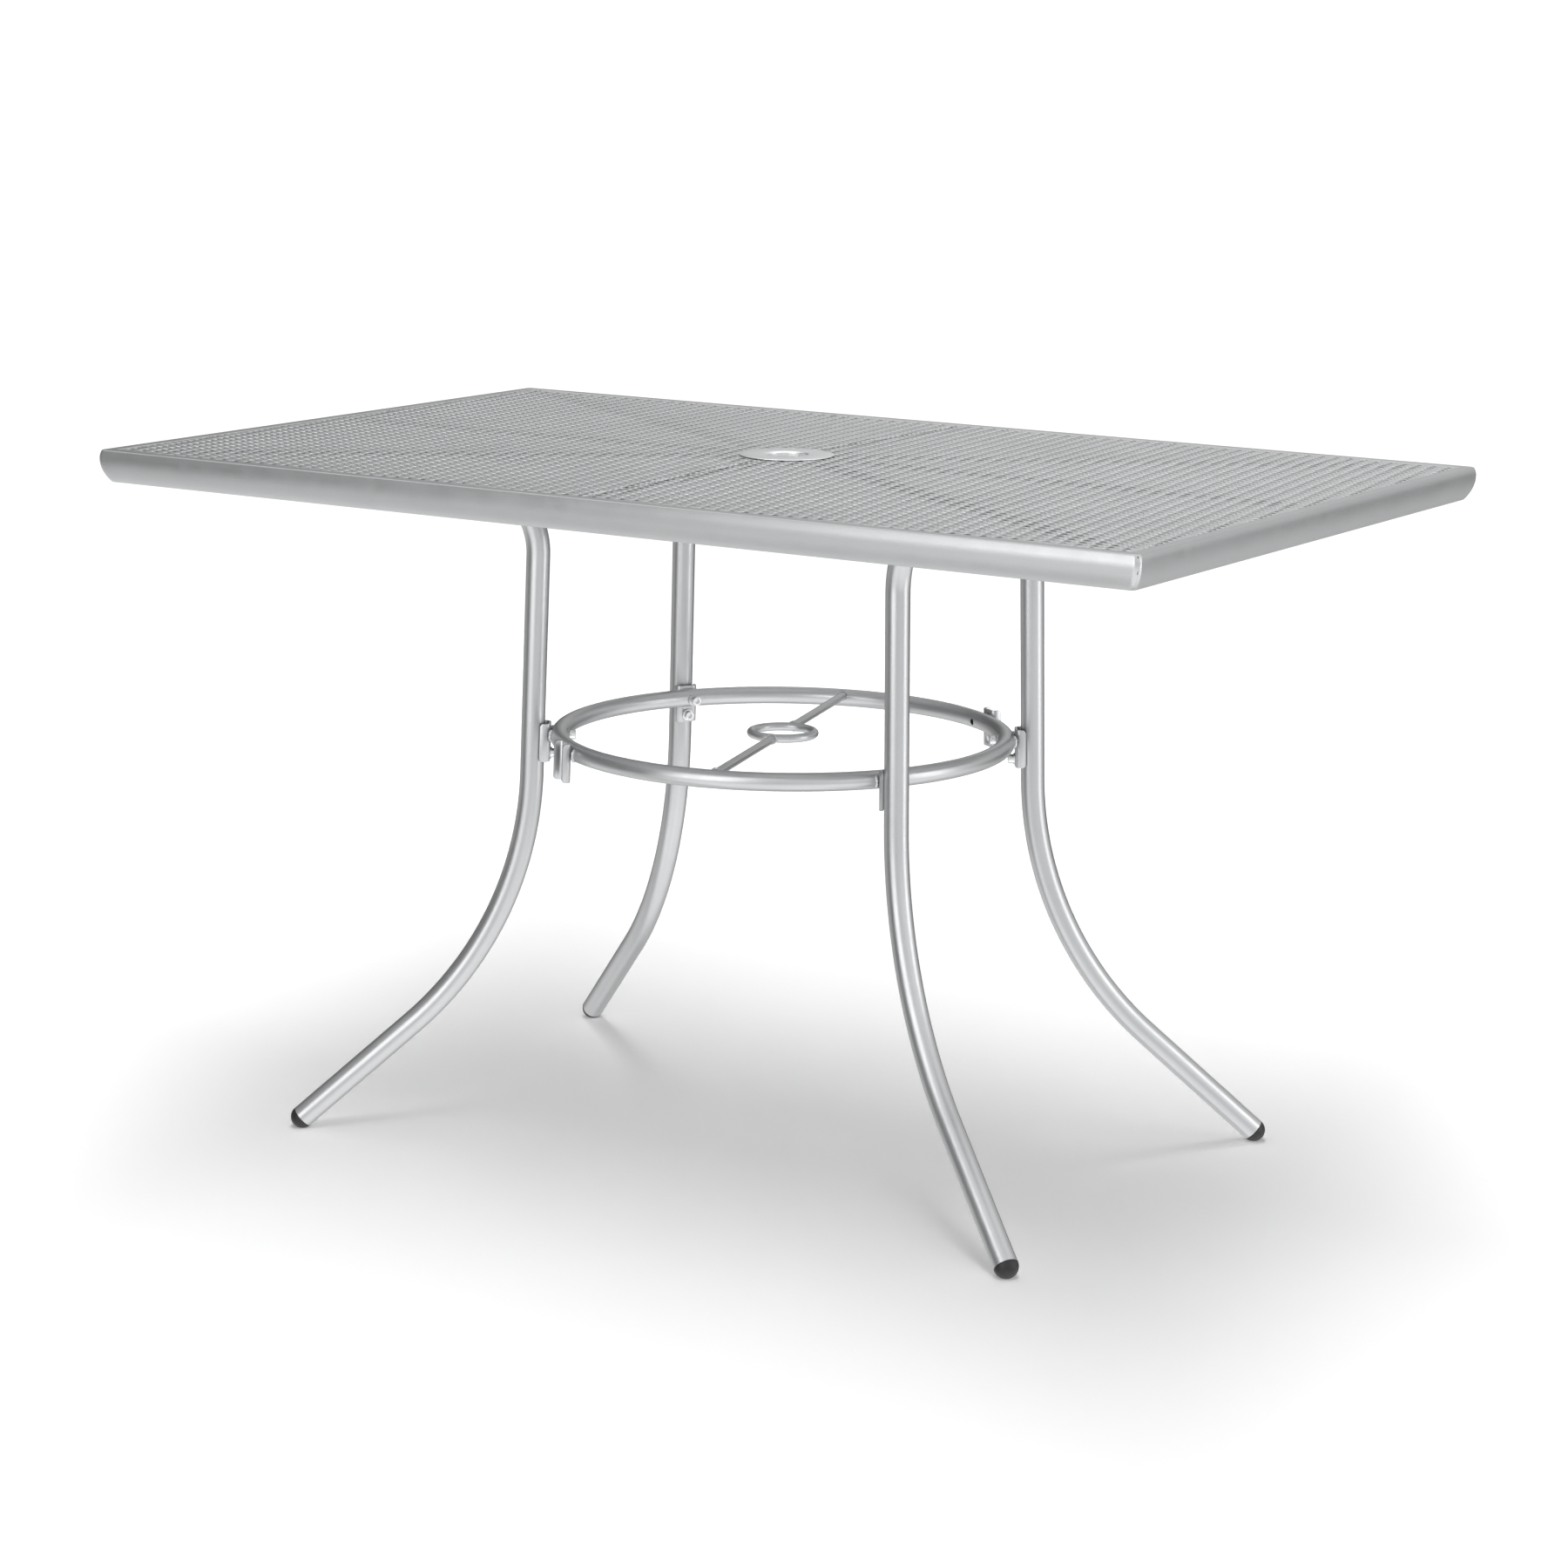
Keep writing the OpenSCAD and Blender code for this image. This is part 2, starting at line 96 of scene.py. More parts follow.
class TopSizes(bpy.types.PropertyGroup):
    """Sizes of the rims, the mesh, the braces and the umbrella hole."""
    length: size("Length", "Length over the rims", 1220)
    width: size("Width", "Width over the rims", 770)
    height: size("Height", "Height of the rims above the floor", 734)
    rim: size("Rim height", "Height of the rolled rim", 34)
    lip: size("Lip width", "Flat lip between the mesh and the rim's outer face", 15)
    sheet: size("Rim sheet", "Thickness of the rim's sheet steel", 1.6)
    mesh: size("Mesh thickness", "Thickness of the flattened mesh", 1.5)
    crown: size("Crown", "Rise of the mesh from the rims to the centre", 4)
    cell_length: size("Diamond length", "Long way of the mesh diamonds", 33.5)
    cell_width: size("Diamond width", "Short way of the mesh diamonds", 12.0)
    hole_length: size("Opening length", "Long way of one opening in the mesh", 12.0)
    hole_width: size("Opening width", "Short way of one opening in the mesh", 6.0)
    brace_width: size("Brace width", "Width of the flat braces", 30)
    brace: size("Brace thickness", "Thickness of the flat braces", 4)
    hub: size("Hub radius", "Radius of the plate where the braces meet", 75)
    bore: size("Pole bore", "Diameter of the umbrella pole's hole", 44)
    plate: size("Cover plate", "Outer diameter of the cover plate", 100)
    plate_sheet: size("Plate sheet", "Thickness of the cover plate", 1.2)
    sleeve: size("Sleeve", "Length of the sleeve below the cover plate", 24)


class LegSizes(bpy.types.PropertyGroup):
    """Sizes of the bent tube legs."""
    tube: size("Tube", "Outer diameter of the leg tube", 25)
    reach: size("Reach", "Distance of the leg from the centre at the lower bend", 266)
    bend_height: size("Bend height", "Height where the lower bend starts", 395)
    lean: turn("Lean", "Lean of the straight part", 1.65)
    upper: size("Upper bend", "Centreline radius of the upper bend", 86)
    lower: size("Lower bend", "Centreline radius of the lower bend", 386)
    foot: turn("Foot angle", "Angle of the foot from the vertical", 48.2)
    arm: size("Arm reach", "Distance from the centre to the end of the arm", 560)


class RingSizes(bpy.types.PropertyGroup):
    """Sizes of the ring brace, its rods, its brackets and their screws."""
    height: size("Height", "Height of the ring's centreline", 438)
    tube: size("Ring tube", "Outer diameter of the ring tube", 19)
    wall: size("Ring wall", "Wall of the ring tube", 1.5)
    clip_height: size("Bracket height", "Height of the channel brackets", 41)
    clip_depth: size("Bracket depth", "Depth of the channel brackets", 11)
    clip_wall: size("Bracket wall", "Wall of the channel brackets", 2.5)
    clip_above: size("Bracket rise", "Bracket's top above the ring's centreline", 12.3)
    screw_gap: size("Screw gap", "Distance between a bracket's two screws", 20.5)
    rod_turn: turn("Rod direction", "Direction of the cross rods", 105)
    rod: size("Rod", "Diameter of the cross rods and the centre ring's rod", 9)
    centre: size("Centre ring", "Outer diameter of the centre ring", 76)


class Finishes(bpy.types.PropertyGroup):
    """Colours of the finishes."""
    coat: paint("Powder coat", "Silver powder coat on tube and sheet", "#b9babb")
    mesh: paint("Mesh coat", "Silver powder coat on the mesh", "#c9cacb")
    # Painted highlight: the cover plate takes the same silver coat painted much lighter, for the
    # light its flat top catches.
    plate: paint("Plate coat", "Silver powder coat on the cover plate", "#eaebec")
    zinc: paint("Zinc", "Plated screws and washers", "#d9dadb")
    insert: paint("Insert", "Yellow passivated rivet nuts", "#c9a95c")
    plastic: paint("Plastic", "Black moulded caps", "#101011")
    # Painted shade: the dark colour of the corner welds' pinholes stands in for the shadow
    # inside them.
    scale: paint("Weld scale", "Dark scale in the pinholes of the corner welds", "#3c3c3c")


class StudioSettings(bpy.types.PropertyGroup):
    """Camera and light of the studio."""
    lens: FloatProperty(name="Lens", description="Focal length in millimetres on a 36 mm sensor",
                        default=90.23, min=10.0, max=300.0)
    yaw: turn("Yaw", "Camera's turn from the table's width", 32.78)
    pitch: turn("Pitch", "Camera's downward tilt", 11.922)
    roll: turn("Roll", "Camera's roll", 0.648)
    overhead: power("Overhead light", "Power of the overhead softbox", 590.0)
    left: power("Left light", "Power of the front left softbox", 24.0)
    right: power("Right light", "Power of the right softbox", 7.0)


# Hand tools

def deselect():
    if bpy.context.mode != "OBJECT":
        bpy.ops.object.mode_set(mode="OBJECT")
    bpy.ops.object.select_all(action="DESELECT")


def take(*pieces):
    """Selects only these pieces, the first one active."""
    deselect()
    for piece in pieces:
        piece.select_set(True)
    bpy.context.view_layer.objects.active = pieces[0]


def settle(piece):
    """Puts the piece's place into its mesh."""
    take(piece)
    bpy.ops.object.transform_apply(location=True, rotation=True, scale=True)
    return piece


def add(primitive, **settings):
    """Adds a primitive at its size and place, with its origin at the world's."""
    deselect()
    getattr(bpy.ops.mesh, f"primitive_{primitive}_add")(**settings)
    return settle(bpy.context.object)


def edit(piece):
    take(piece)
    bpy.ops.object.mode_set(mode="EDIT")
    bpy.ops.mesh.select_all(action="DESELECT")


def leave_edit():
    bpy.ops.object.mode_set(mode="OBJECT")


def select_all():
    bpy.ops.mesh.select_all(action="SELECT")


def pick(piece, kind, wanted):
    """Selects in edit mode the points, edges or faces whose place and normal are wanted."""
    bpy.ops.mesh.select_mode(type=kind)
    bpy.ops.mesh.select_all(action="DESELECT")
    shape = bmesh.from_edit_mesh(piece.data)
    if kind == "VERT":
        for point in shape.verts:
            point.select_set(wanted(point.co, point.normal))
    elif kind == "EDGE":
        for line in shape.edges:
            a, b = (v.co for v in line.verts)
            if wanted((a + b) / 2, b - a):
                line.select_set(True)
    else:
        for face in shape.faces:
            if wanted(face.calc_center_median(), face.normal):
                face.select_set(True)
    bmesh.update_edit_mesh(piece.data)


def start_line(point):
    """A single selected point, left in edit mode, from which a line is drawn."""
    piece = add("plane", size=1 * MM, location=point)
    edit(piece)
    bpy.ops.mesh.select_mode(type="VERT")
    select_all()
    bpy.ops.mesh.merge(type="CENTER")
    return piece


def draw(step):
    """Extrudes what is selected by a step."""
    bpy.ops.mesh.extrude_region_move(TRANSFORM_OT_translate={"value": tuple(step)})


def upright(pair):
    return Vector((pair[0], 0.0, pair[1]))


def trace(*pairs):
    """Draws a line through (x, z) pairs and leaves its last point selected in edit mode."""
    points = [upright(pair) for pair in pairs]
    piece = start_line(points[0])
    for a, b in zip(points, points[1:]):
        draw(b - a)
    return piece


def sweep(centre, axis, angle, steps):
    """Spins what is selected, right-handed round the axis."""
    bpy.ops.mesh.spin(steps=steps, angle=-angle, center=tuple(centre), axis=tuple(axis))


def revolve(piece, axis, steps):
    """Spins the drawn line once round an axis through the origin and closes the piece."""
    select_all()
    sweep((0, 0, 0), axis, 2 * pi, steps)
    leave_edit()
    return tidy(piece)


def tidy(piece):
    """Merges doubles and turns all faces outward."""
    edit(piece)
    select_all()
    bpy.ops.mesh.remove_doubles(threshold=0.001 * MM)
    bpy.ops.mesh.normals_make_consistent(inside=False)
    leave_edit()
    return piece


def face_toward(piece, place, direction):
    """Turns an open sheet so that its face nearest to a place looks along a direction."""
    nearest = min(piece.data.polygons, key=lambda f: (f.center - Vector(place)).length)
    if nearest.normal.dot(Vector(direction)) < 0:
        edit(piece)
        select_all()
        bpy.ops.mesh.flip_normals()
        leave_edit()


def modify(piece, kind, **settings):
    """Adds a modifier and applies it."""
    take(piece)
    modifier = piece.modifiers.new(kind.title(), kind)
    for key, value in settings.items():
        setattr(modifier, key, value)
    bpy.ops.object.modifier_apply(modifier=modifier.name)
    return piece


def remove(*pieces):
    for piece in pieces:
        bpy.data.objects.remove(piece)


def cut_with(piece, *tools):
    for tool in tools:
        modify(piece, "BOOLEAN", operation="DIFFERENCE", solver="EXACT", object=tool)
        remove(tool)
    return piece


def bevel(piece, width, segments=2, degrees=30):
    """Rounds the piece's edges that are sharper than an angle."""
    return modify(piece, "BEVEL", width=width, segments=segments, limit_method="ANGLE",
                  angle_limit=radians(degrees))


def bisect(piece, point, normal, fill=True):
    """Cuts off what lies on the normal's side of a plane."""
    edit(piece)
    select_all()
    bpy.ops.mesh.bisect(plane_co=point, plane_no=normal, use_fill=fill, clear_outer=True,
                        threshold=0.0001 * MM)
    leave_edit()


def smooth(piece, degrees=35):
    take(piece)
    bpy.ops.object.shade_smooth_by_angle(angle=radians(degrees))
    return piece


def copy_of(piece, matrix):
    """A copy with its own mesh, put in its place."""
    take(piece)
    bpy.ops.object.duplicate(linked=False)
    other = bpy.context.object
    other.matrix_world = matrix @ other.matrix_world
    return settle(other)


def join(pieces):
    take(*pieces)
    bpy.ops.object.join()
    return bpy.context.object


def spun(angle):
    """Turn about the table's axis."""
    return Matrix.Rotation(angle, 4, "Z")


def tilted(angle):
    return Matrix.Rotation(angle, 4, "Y")


def shifted(x, y, z):
    return Matrix.Translation((x, y, z))


def move_points(piece, place):
    """Moves each point to the place that a function gives for it."""
    for point in piece.data.vertices:
        point.co = place(point.co)
    piece.data.update()


def finish(piece, name, material, slot, *nodes):
    """Names the piece, gives it its material and lets it stand for its construction nodes."""
    piece.name = name
    piece.data.name = name
    piece.data.materials.clear()
    piece.data.materials.append(FINISH[material])
    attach(piece, "root")
    if nodes:
        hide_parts(*nodes)
    return piece


def tell(operator, message):
    operator.report({"INFO"}, message)
    return {"FINISHED"}


# Shared places of the construction

def corner_turns():
    top = bpy.context.scene.table_top
    a = atan2(top.width, top.length)
    return (a, pi - a, pi + a, -a)


def bracket_turns():
    """Directions of the four brackets of the legs and the two spare ones."""
    places = {f"bracket_{name}": angle for name, angle in zip(CORNERS, corner_turns())}
    a = corner_turns()[0]
    return {**places, "spare_bracket_back": pi / 2 - a, "spare_bracket_front": -pi / 2 - a}


def levels():
    """Half sizes and heights of the mesh, the braces and the plate."""
    top = bpy.context.scene.table_top
    half_x = top.length / 2 - top.lip - 0.7 * MM
    half_y = top.width / 2 - top.lip - 0.7 * MM
    mesh_top = top.height - 0.4 * MM
    mesh_bottom = mesh_top - top.mesh
    hole = top.bore / 2 + top.plate_sheet + 0.5 * MM
    return {"half_x": half_x, "half_y": half_y, "diagonal": hypot(half_x, half_y),
            "mesh_top": mesh_top, "mesh_bottom": mesh_bottom, "hole": hole,
            "hub_top": mesh_bottom + top.crown * (1 - top.hub / half_y) - 0.05 * MM,
            "plate": mesh_top + top.crown * (1 - hole / half_x) + 0.02 * MM}


def leg_line():
    """Points and bend centres of a leg's centreline, as (reach, height) pairs."""
    top, leg, at = bpy.context.scene.table_top, bpy.context.scene.table_legs, levels()
    drop = atan2(top.crown, at["diagonal"])
    lean, r = leg.lean, leg.tube / 2
    arm_line = (at["mesh_bottom"] + top.crown - 0.2 * MM - top.brace / cos(drop)
                - (r + 0.02 * MM) / cos(drop))
    low = Vector((leg.reach, leg.bend_height))
    side = Vector((cos(lean), sin(lean)))
    high_z = ((arm_line - tan(drop) * (low.x + low.y * tan(lean)
                                       + leg.upper * (cos(lean) + sin(drop)))
               - leg.upper * (sin(lean) + cos(drop))) / (1 - tan(drop) * tan(lean)))
    high = Vector((low.x - (high_z - low.y) * tan(lean), high_z))
    upper = high + leg.upper * side
    arm_start = upper + leg.upper * Vector((sin(drop), cos(drop)))
    arm_end = Vector((leg.arm, arm_start.y - (leg.arm - arm_start.x) * tan(drop)))
    lower = low + leg.lower * side
    foot_start = lower - leg.lower * Vector((cos(leg.foot), sin(leg.foot)))
    foot_run = (foot_start.y - r * sin(leg.foot) - 2 * MM) / cos(leg.foot)
    foot_end = foot_start + foot_run * Vector((sin(leg.foot), -cos(leg.foot)))
    return {"drop": drop, "arm_end": arm_end, "arm_start": arm_start, "upper": upper,
            "high": high, "low": low, "lower": lower, "foot_start": foot_start,
            "foot_end": foot_end}


def clip_frame():
    """Places along the bracket's depth, from the leg axis in the leg's leaning frame."""
    leg, ring = bpy.context.scene.table_legs, bpy.context.scene.table_ring
    r = leg.tube / 2
    half = r - 0.2 * MM
    lip = -sqrt(r * r - (half - ring.clip_wall) ** 2) - 0.05 * MM
    back = lip - ring.clip_depth
    tube = back - ring.tube / 2 - 0.02 * MM
    reach = leg.reach - (ring.height - leg.bend_height) * tan(leg.lean)
    return {"half": half, "lip": lip, "back": back, "tube": tube, "reach": reach,
            "ring": reach + tube / cos(leg.lean)}


def at_bracket(angle):
    leg, ring = bpy.context.scene.table_legs, bpy.context.scene.table_ring
    return (spun(angle)
            @ shifted(clip_frame()["reach"], 0, ring.height)
            @ tilted(-leg.lean))


def bar_between(start, end, radius, sides=32):
    """Round bar from one point to another."""
    a, b = Vector(start), Vector(end)
    way = b - a
    return add("cylinder", vertices=sides, radius=radius, depth=way.length,
               location=(a + b) / 2, rotation=way.to_track_quat("Z", "Y").to_euler())


# Materials

def node(tree, kind, inputs=None, **settings):
    made = tree.nodes.new(kind)
    for key, value in settings.items():
        setattr(made, key, value)
    for socket, value in (inputs or {}).items():
        if isinstance(value, bpy.types.NodeSocket):
            tree.links.new(value, made.inputs[socket])
        else:
            made.inputs[socket].default_value = value
    return made


def math(tree, operation, *values):
    return node(tree, "ShaderNodeMath", dict(enumerate(values)), operation=operation).outputs[0]


def span(tree, value, low, high, new_low, new_high):
    return node(tree, "ShaderNodeMapRange", {
        "Value": value, "From Min": low, "From Max": high, "To Min": new_low,
        "To Max": new_high}).outputs["Result"]


def noise(tree, place, millimetres, detail=2.0, roughness=0.5):
    """Noise whose lumps are about this many millimetres across."""
    return node(tree, "ShaderNodeTexNoise", {
        "Vector": place, "Scale": 1000.0 / millimetres, "Detail": detail,
        "Roughness": roughness}).outputs["Fac"]


def mottle(tree, place, millimetres, detail, new_low, new_high):
    return span(tree, noise(tree, place, millimetres, detail), 0.3, 0.7, new_low, new_high)


def bump(tree, height, strength, distance, under=None):
    """Relief of a height, over a coarser relief if there is one."""
    inputs = {"Height": height, "Strength": strength, "Distance": distance}
    if under:
        inputs["Normal"] = under
    return node(tree, "ShaderNodeBump", inputs).outputs["Normal"]


def new_material(name):
    material = bpy.data.materials.new(name)
    material.use_nodes = True
    tree = material.node_tree
    tree.nodes.clear()
    return material, tree, node(tree, "ShaderNodeTexCoord").outputs["Object"]


def close_material(tree, colour, tone, inputs):
    """Ends a material in a shader whose base is a colour times a tone."""
    base = node(tree, "ShaderNodeVectorMath", {0: tuple(colour), "Scale": tone},
                operation="SCALE").outputs["Vector"]
    shader = node(tree, "ShaderNodeBsdfPrincipled", {"Base Color": base, **inputs})
    node(tree, "ShaderNodeOutputMaterial", {"Surface": shader.outputs["BSDF"]})


def powder_coat(name, colour, metallic, roughness, peel=1.0):
    """Silver powder coat: aluminium flakes under a baked film that flows out to a fine orange
    peel, so the eye sees a soft metal gloss with a faint sparkle and slow cloudiness."""
    material, tree, place = new_material(name)
    flake = mottle(tree, place, 0.45, 1.0, 0.95, 1.05)
    cloud = mottle(tree, place, 90.0, 2.0, 0.975, 1.02)
    gloss = span(tree, noise(tree, place, 14.0, 3.0), 0.25, 0.75, roughness - 0.03,
                 roughness + 0.04)
    film = bump(tree, noise(tree, place, 2.2), 0.10 * peel, 0.0004)
    close_material(tree, colour, math(tree, "MULTIPLY", flake, cloud), {
        "Roughness": gloss, "Metallic": metallic, "Specular IOR Level": 0.5,
        "Normal": bump(tree, noise(tree, place, 0.35, 1.0), 0.06, 0.0001, film)})
    return material


def pressed_mesh_coat(name, colour):
    """Powder coat on flattened expanded steel: the rollers leave every bond as a soft pillow,
    and the colour swings lighter and darker across each pillow as painted highlight and shade,
    which reads as rows of bright beads; the walls of the cuts are painted darker toward their
    bottoms as painted shade."""
    material, tree, place = new_material(name)
    cells = node(tree, "ShaderNodeUVMap", uv_map="cells").outputs["UV"]
    cell = node(tree, "ShaderNodeSeparateXYZ", {"Vector": cells}).outputs
    slanted = math(tree, "MULTIPLY_ADD", cell["X"], 3.0, cell["Y"])
    strands = math(tree, "COSINE", math(tree, "MULTIPLY", cell["X"], 4 * pi))
    bonds = math(tree, "COSINE", math(tree, "MULTIPLY", slanted, 2 * pi))
    both = math(tree, "MULTIPLY_ADD", strands, 0.2, bonds)
    pillow = span(tree, both, -1.2, 1.2, -1.0, 1.0)
    pressed, depth = (node(tree, "ShaderNodeAttribute", attribute_name=name).outputs["Fac"]
                      for name in ("press", "cut_depth"))
    uneven = mottle(tree, place, 28.0, 2.0, 0.7, 1.25)
    rise = math(tree, "MULTIPLY", math(tree, "MULTIPLY", pillow, uneven), pressed)
    cloud = mottle(tree, place, 70.0, 2.0, 0.96, 1.03)
    # painted shade: the walls of the cuts are darker toward their bottoms
    painted_cut_shade = span(tree, depth, 0.0, 1.0, 1.0, 0.85)
    # painted highlight and shade: the colour swings lighter and darker across each pillow of the
    # mesh
    bead = span(tree, rise, -1.0, 1.0, 1.55, 0.50)
    tone = math(tree, "MULTIPLY", math(tree, "MULTIPLY", cloud, painted_cut_shade), bead)
    pillows = bump(tree, rise, 1.0, -0.0007)
    close_material(tree, colour, tone, {
        "Roughness": 0.30, "Metallic": 0.85, "Specular IOR Level": 0.5,
        "Normal": bump(tree, noise(tree, place, 1.2), 0.08, 0.0003, pillows)})
    return material


def zinc_plate(name, colour, roughness=0.24):
    """Bright zinc over drawn steel: even metal gloss, with the fine lines of turning and small
    cloudy patches where the plating took differently."""
    material, tree, place = new_material(name)
    close_material(tree, colour, mottle(tree, place, 2.5, 3.0, 0.93, 1.04), {
        "Roughness": mottle(tree, place, 1.0, 2.0, roughness - 0.05, roughness + 0.08),
        "Metallic": 1.0, "Normal": bump(tree, noise(tree, place, 0.25), 0.15, 0.00005)})
    return material


def pinhole_painted_shade(name, colour):
    """Painted shade for the pinholes of a weld: a dark, matt and rough colour in place of the
    shadow inside them.
    """
    material, tree, place = new_material(name)
    close_material(tree, colour, mottle(tree, place, 1.5, 2.0, 0.8, 1.2), {"Roughness": 0.9})
    return material


def moulded_plastic(name, colour):
    """Black polyethylene from a spark-eroded mould: a satin skin with a very fine grain, and
    paler rub marks scattered over it."""
    material, tree, place = new_material(name)
    rub = span(tree, noise(tree, place, 5.0, 4.0, 0.65), 0.35, 0.8, 0.8, 2.2)
    close_material(tree, colour, rub, {
        "Roughness": mottle(tree, place, 3.0, 2.0, 0.42, 0.56), "Specular IOR Level": 0.5,
        "Normal": bump(tree, noise(tree, place, 0.3), 0.25, 0.00008)})
    return material


def studio_floor(name):
    """Matt white board that glows as painted light, less near the table and more farther out, so
    that it stays white round a soft shadow, with a barely visible mottling."""
    material, tree, place = new_material(name)
    reach = node(tree, "ShaderNodeVectorMath", {0: place}, operation="LENGTH").outputs["Value"]
    close_material(tree, (0.90, 0.90, 0.90), mottle(tree, place, 600.0, 2.0, 0.995, 1.0), {
        "Roughness": 0.9, "Specular IOR Level": 0.1, "Emission Color": (1, 1, 1, 1),
        "Emission Strength": span(tree, reach, 1.15, 2.1, 0.29, 0.60)})
    return material


FINISH = {}


def make_finishes():
    paints = bpy.context.scene.table_finishes
    FINISH.update(
        scale=pinhole_painted_shade("pinhole_painted_shade", paints.scale),
        coat=powder_coat("silver_powder_coat", paints.coat, 0.88, 0.31),
        mesh=pressed_mesh_coat("silver_mesh_coat", paints.mesh),
        plate=powder_coat("silver_plate_coat", paints.plate, 0.85, 0.30, 0.6),
        weld=powder_coat("coated_weld", paints.coat, 0.85, 0.32, 2.0),
        zinc=zinc_plate("bright_zinc", paints.zinc),
        insert=zinc_plate("yellow_zinc", paints.insert, 0.3),
        plastic=moulded_plastic("black_moulded_plastic", paints.plastic))


# Pieces

class TABLE_OT_rims(bpy.types.Operator):
    """Rolls the four rims and mitres them"""
    bl_idname = "garden_table.rims"
    bl_label = "Rolled rims"

    def execute(self, context):
        top = context.scene.table_top
        for name, length, half, angle in (
                ("front", top.length, top.width / 2, 0.0),
                ("right", top.width, top.length / 2, pi / 2),
                ("back", top.length, top.width / 2, pi),
                ("left", top.width, top.length / 2, -pi / 2)):
            rim = self.rim(top, length, half)
            rim.matrix_world = spun(angle)
            settle(rim)
            finish(rim, f"rolled_rim_{name}", "coat", "frame", f"rim_{name}")
        return tell(self, "Rims rolled")

    def rim(self, top, length, half):
        """One rim with its outer face toward -Y, drawn as a line and pulled along X."""
        edge = 1.8 * MM
        upper_a = asin((BULGE - edge) / (UPPER_ROLL - edge))
        lower_a = asin((top.rim - BULGE - edge) / (LOWER_ROLL - edge))
        lip_start = UPPER_ROLL - (UPPER_ROLL - edge) * cos(upper_a)
        foot_start = LOWER_ROLL - (LOWER_ROLL - edge) * cos(lower_a)
        step = top.height - levels()["mesh_bottom"]

        def at(inward, below):
            return Vector((-length / 2, -half + inward, top.height - below))

        places = [at(inward, below) for inward, below in (
            (top.lip + FLANGE, step), (top.lip + 1.1 * MM, step),
            (top.lip + 0.5 * MM, step - 0.5 * MM), (top.lip, 0.5 * MM),
            (top.lip - 0.6 * MM, 0), (lip_start, 0))]
        rim = start_line(places[0])
        for a, b in zip(places, places[1:]):
            draw(b - a)
        for centre, angle, steps in (
                (at(lip_start, edge), pi / 2 - upper_a, 6), (at(UPPER_ROLL, BULGE), upper_a, 8),
                (at(LOWER_ROLL, BULGE), lower_a, 14),
                (at(foot_start, top.rim - edge), pi / 2 - lower_a, 6)):
            sweep(centre, (1, 0, 0), angle, steps)
        draw((0, 6 * MM, 0))
        select_all()
        for step in (*(MM,) * 22, length - 44 * MM, *(MM,) * 22):
            draw((step, 0, 0))
        leave_edit()
        tidy(rim)
        face_toward(rim, (0, -half, top.height - BULGE), (0, -1, 0))
        modify(rim, "SOLIDIFY", thickness=top.sheet, offset=-1, use_even_offset=True)
        for side in (-1, 1):
            bisect(rim, (side * (length / 2 - 0.06 * MM), -half, top.height), (side, 1, 0))
        tidy(rim)

        def rounded(p):
            """Rounds the mitred corner of the outer wall, less and less across the lip."""
            inward, below = p.y + half, top.height - p.z
            radius = CORNER_ROUND
            if below < 2.2 * MM and inward > lip_start:
                radius *= max(0.0, (top.lip - inward) / (top.lip - lip_start))
            elif inward > 11 * MM and below < 25 * MM:
                radius = 0.0
            reach = max(0.0, length / 2 - inward - abs(p.x))
            if reach >= radius:
                return p
            turned = (radius - reach) / radius * pi / 4
            x = abs(p.x) - (radius - reach) + radius * sin(turned)
            return Vector((x if p.x > 0 else -x, p.y + radius * (1 - cos(turned)), p.z))

        move_points(rim, rounded)
        tidy(rim)
        return smooth(rim, 30)


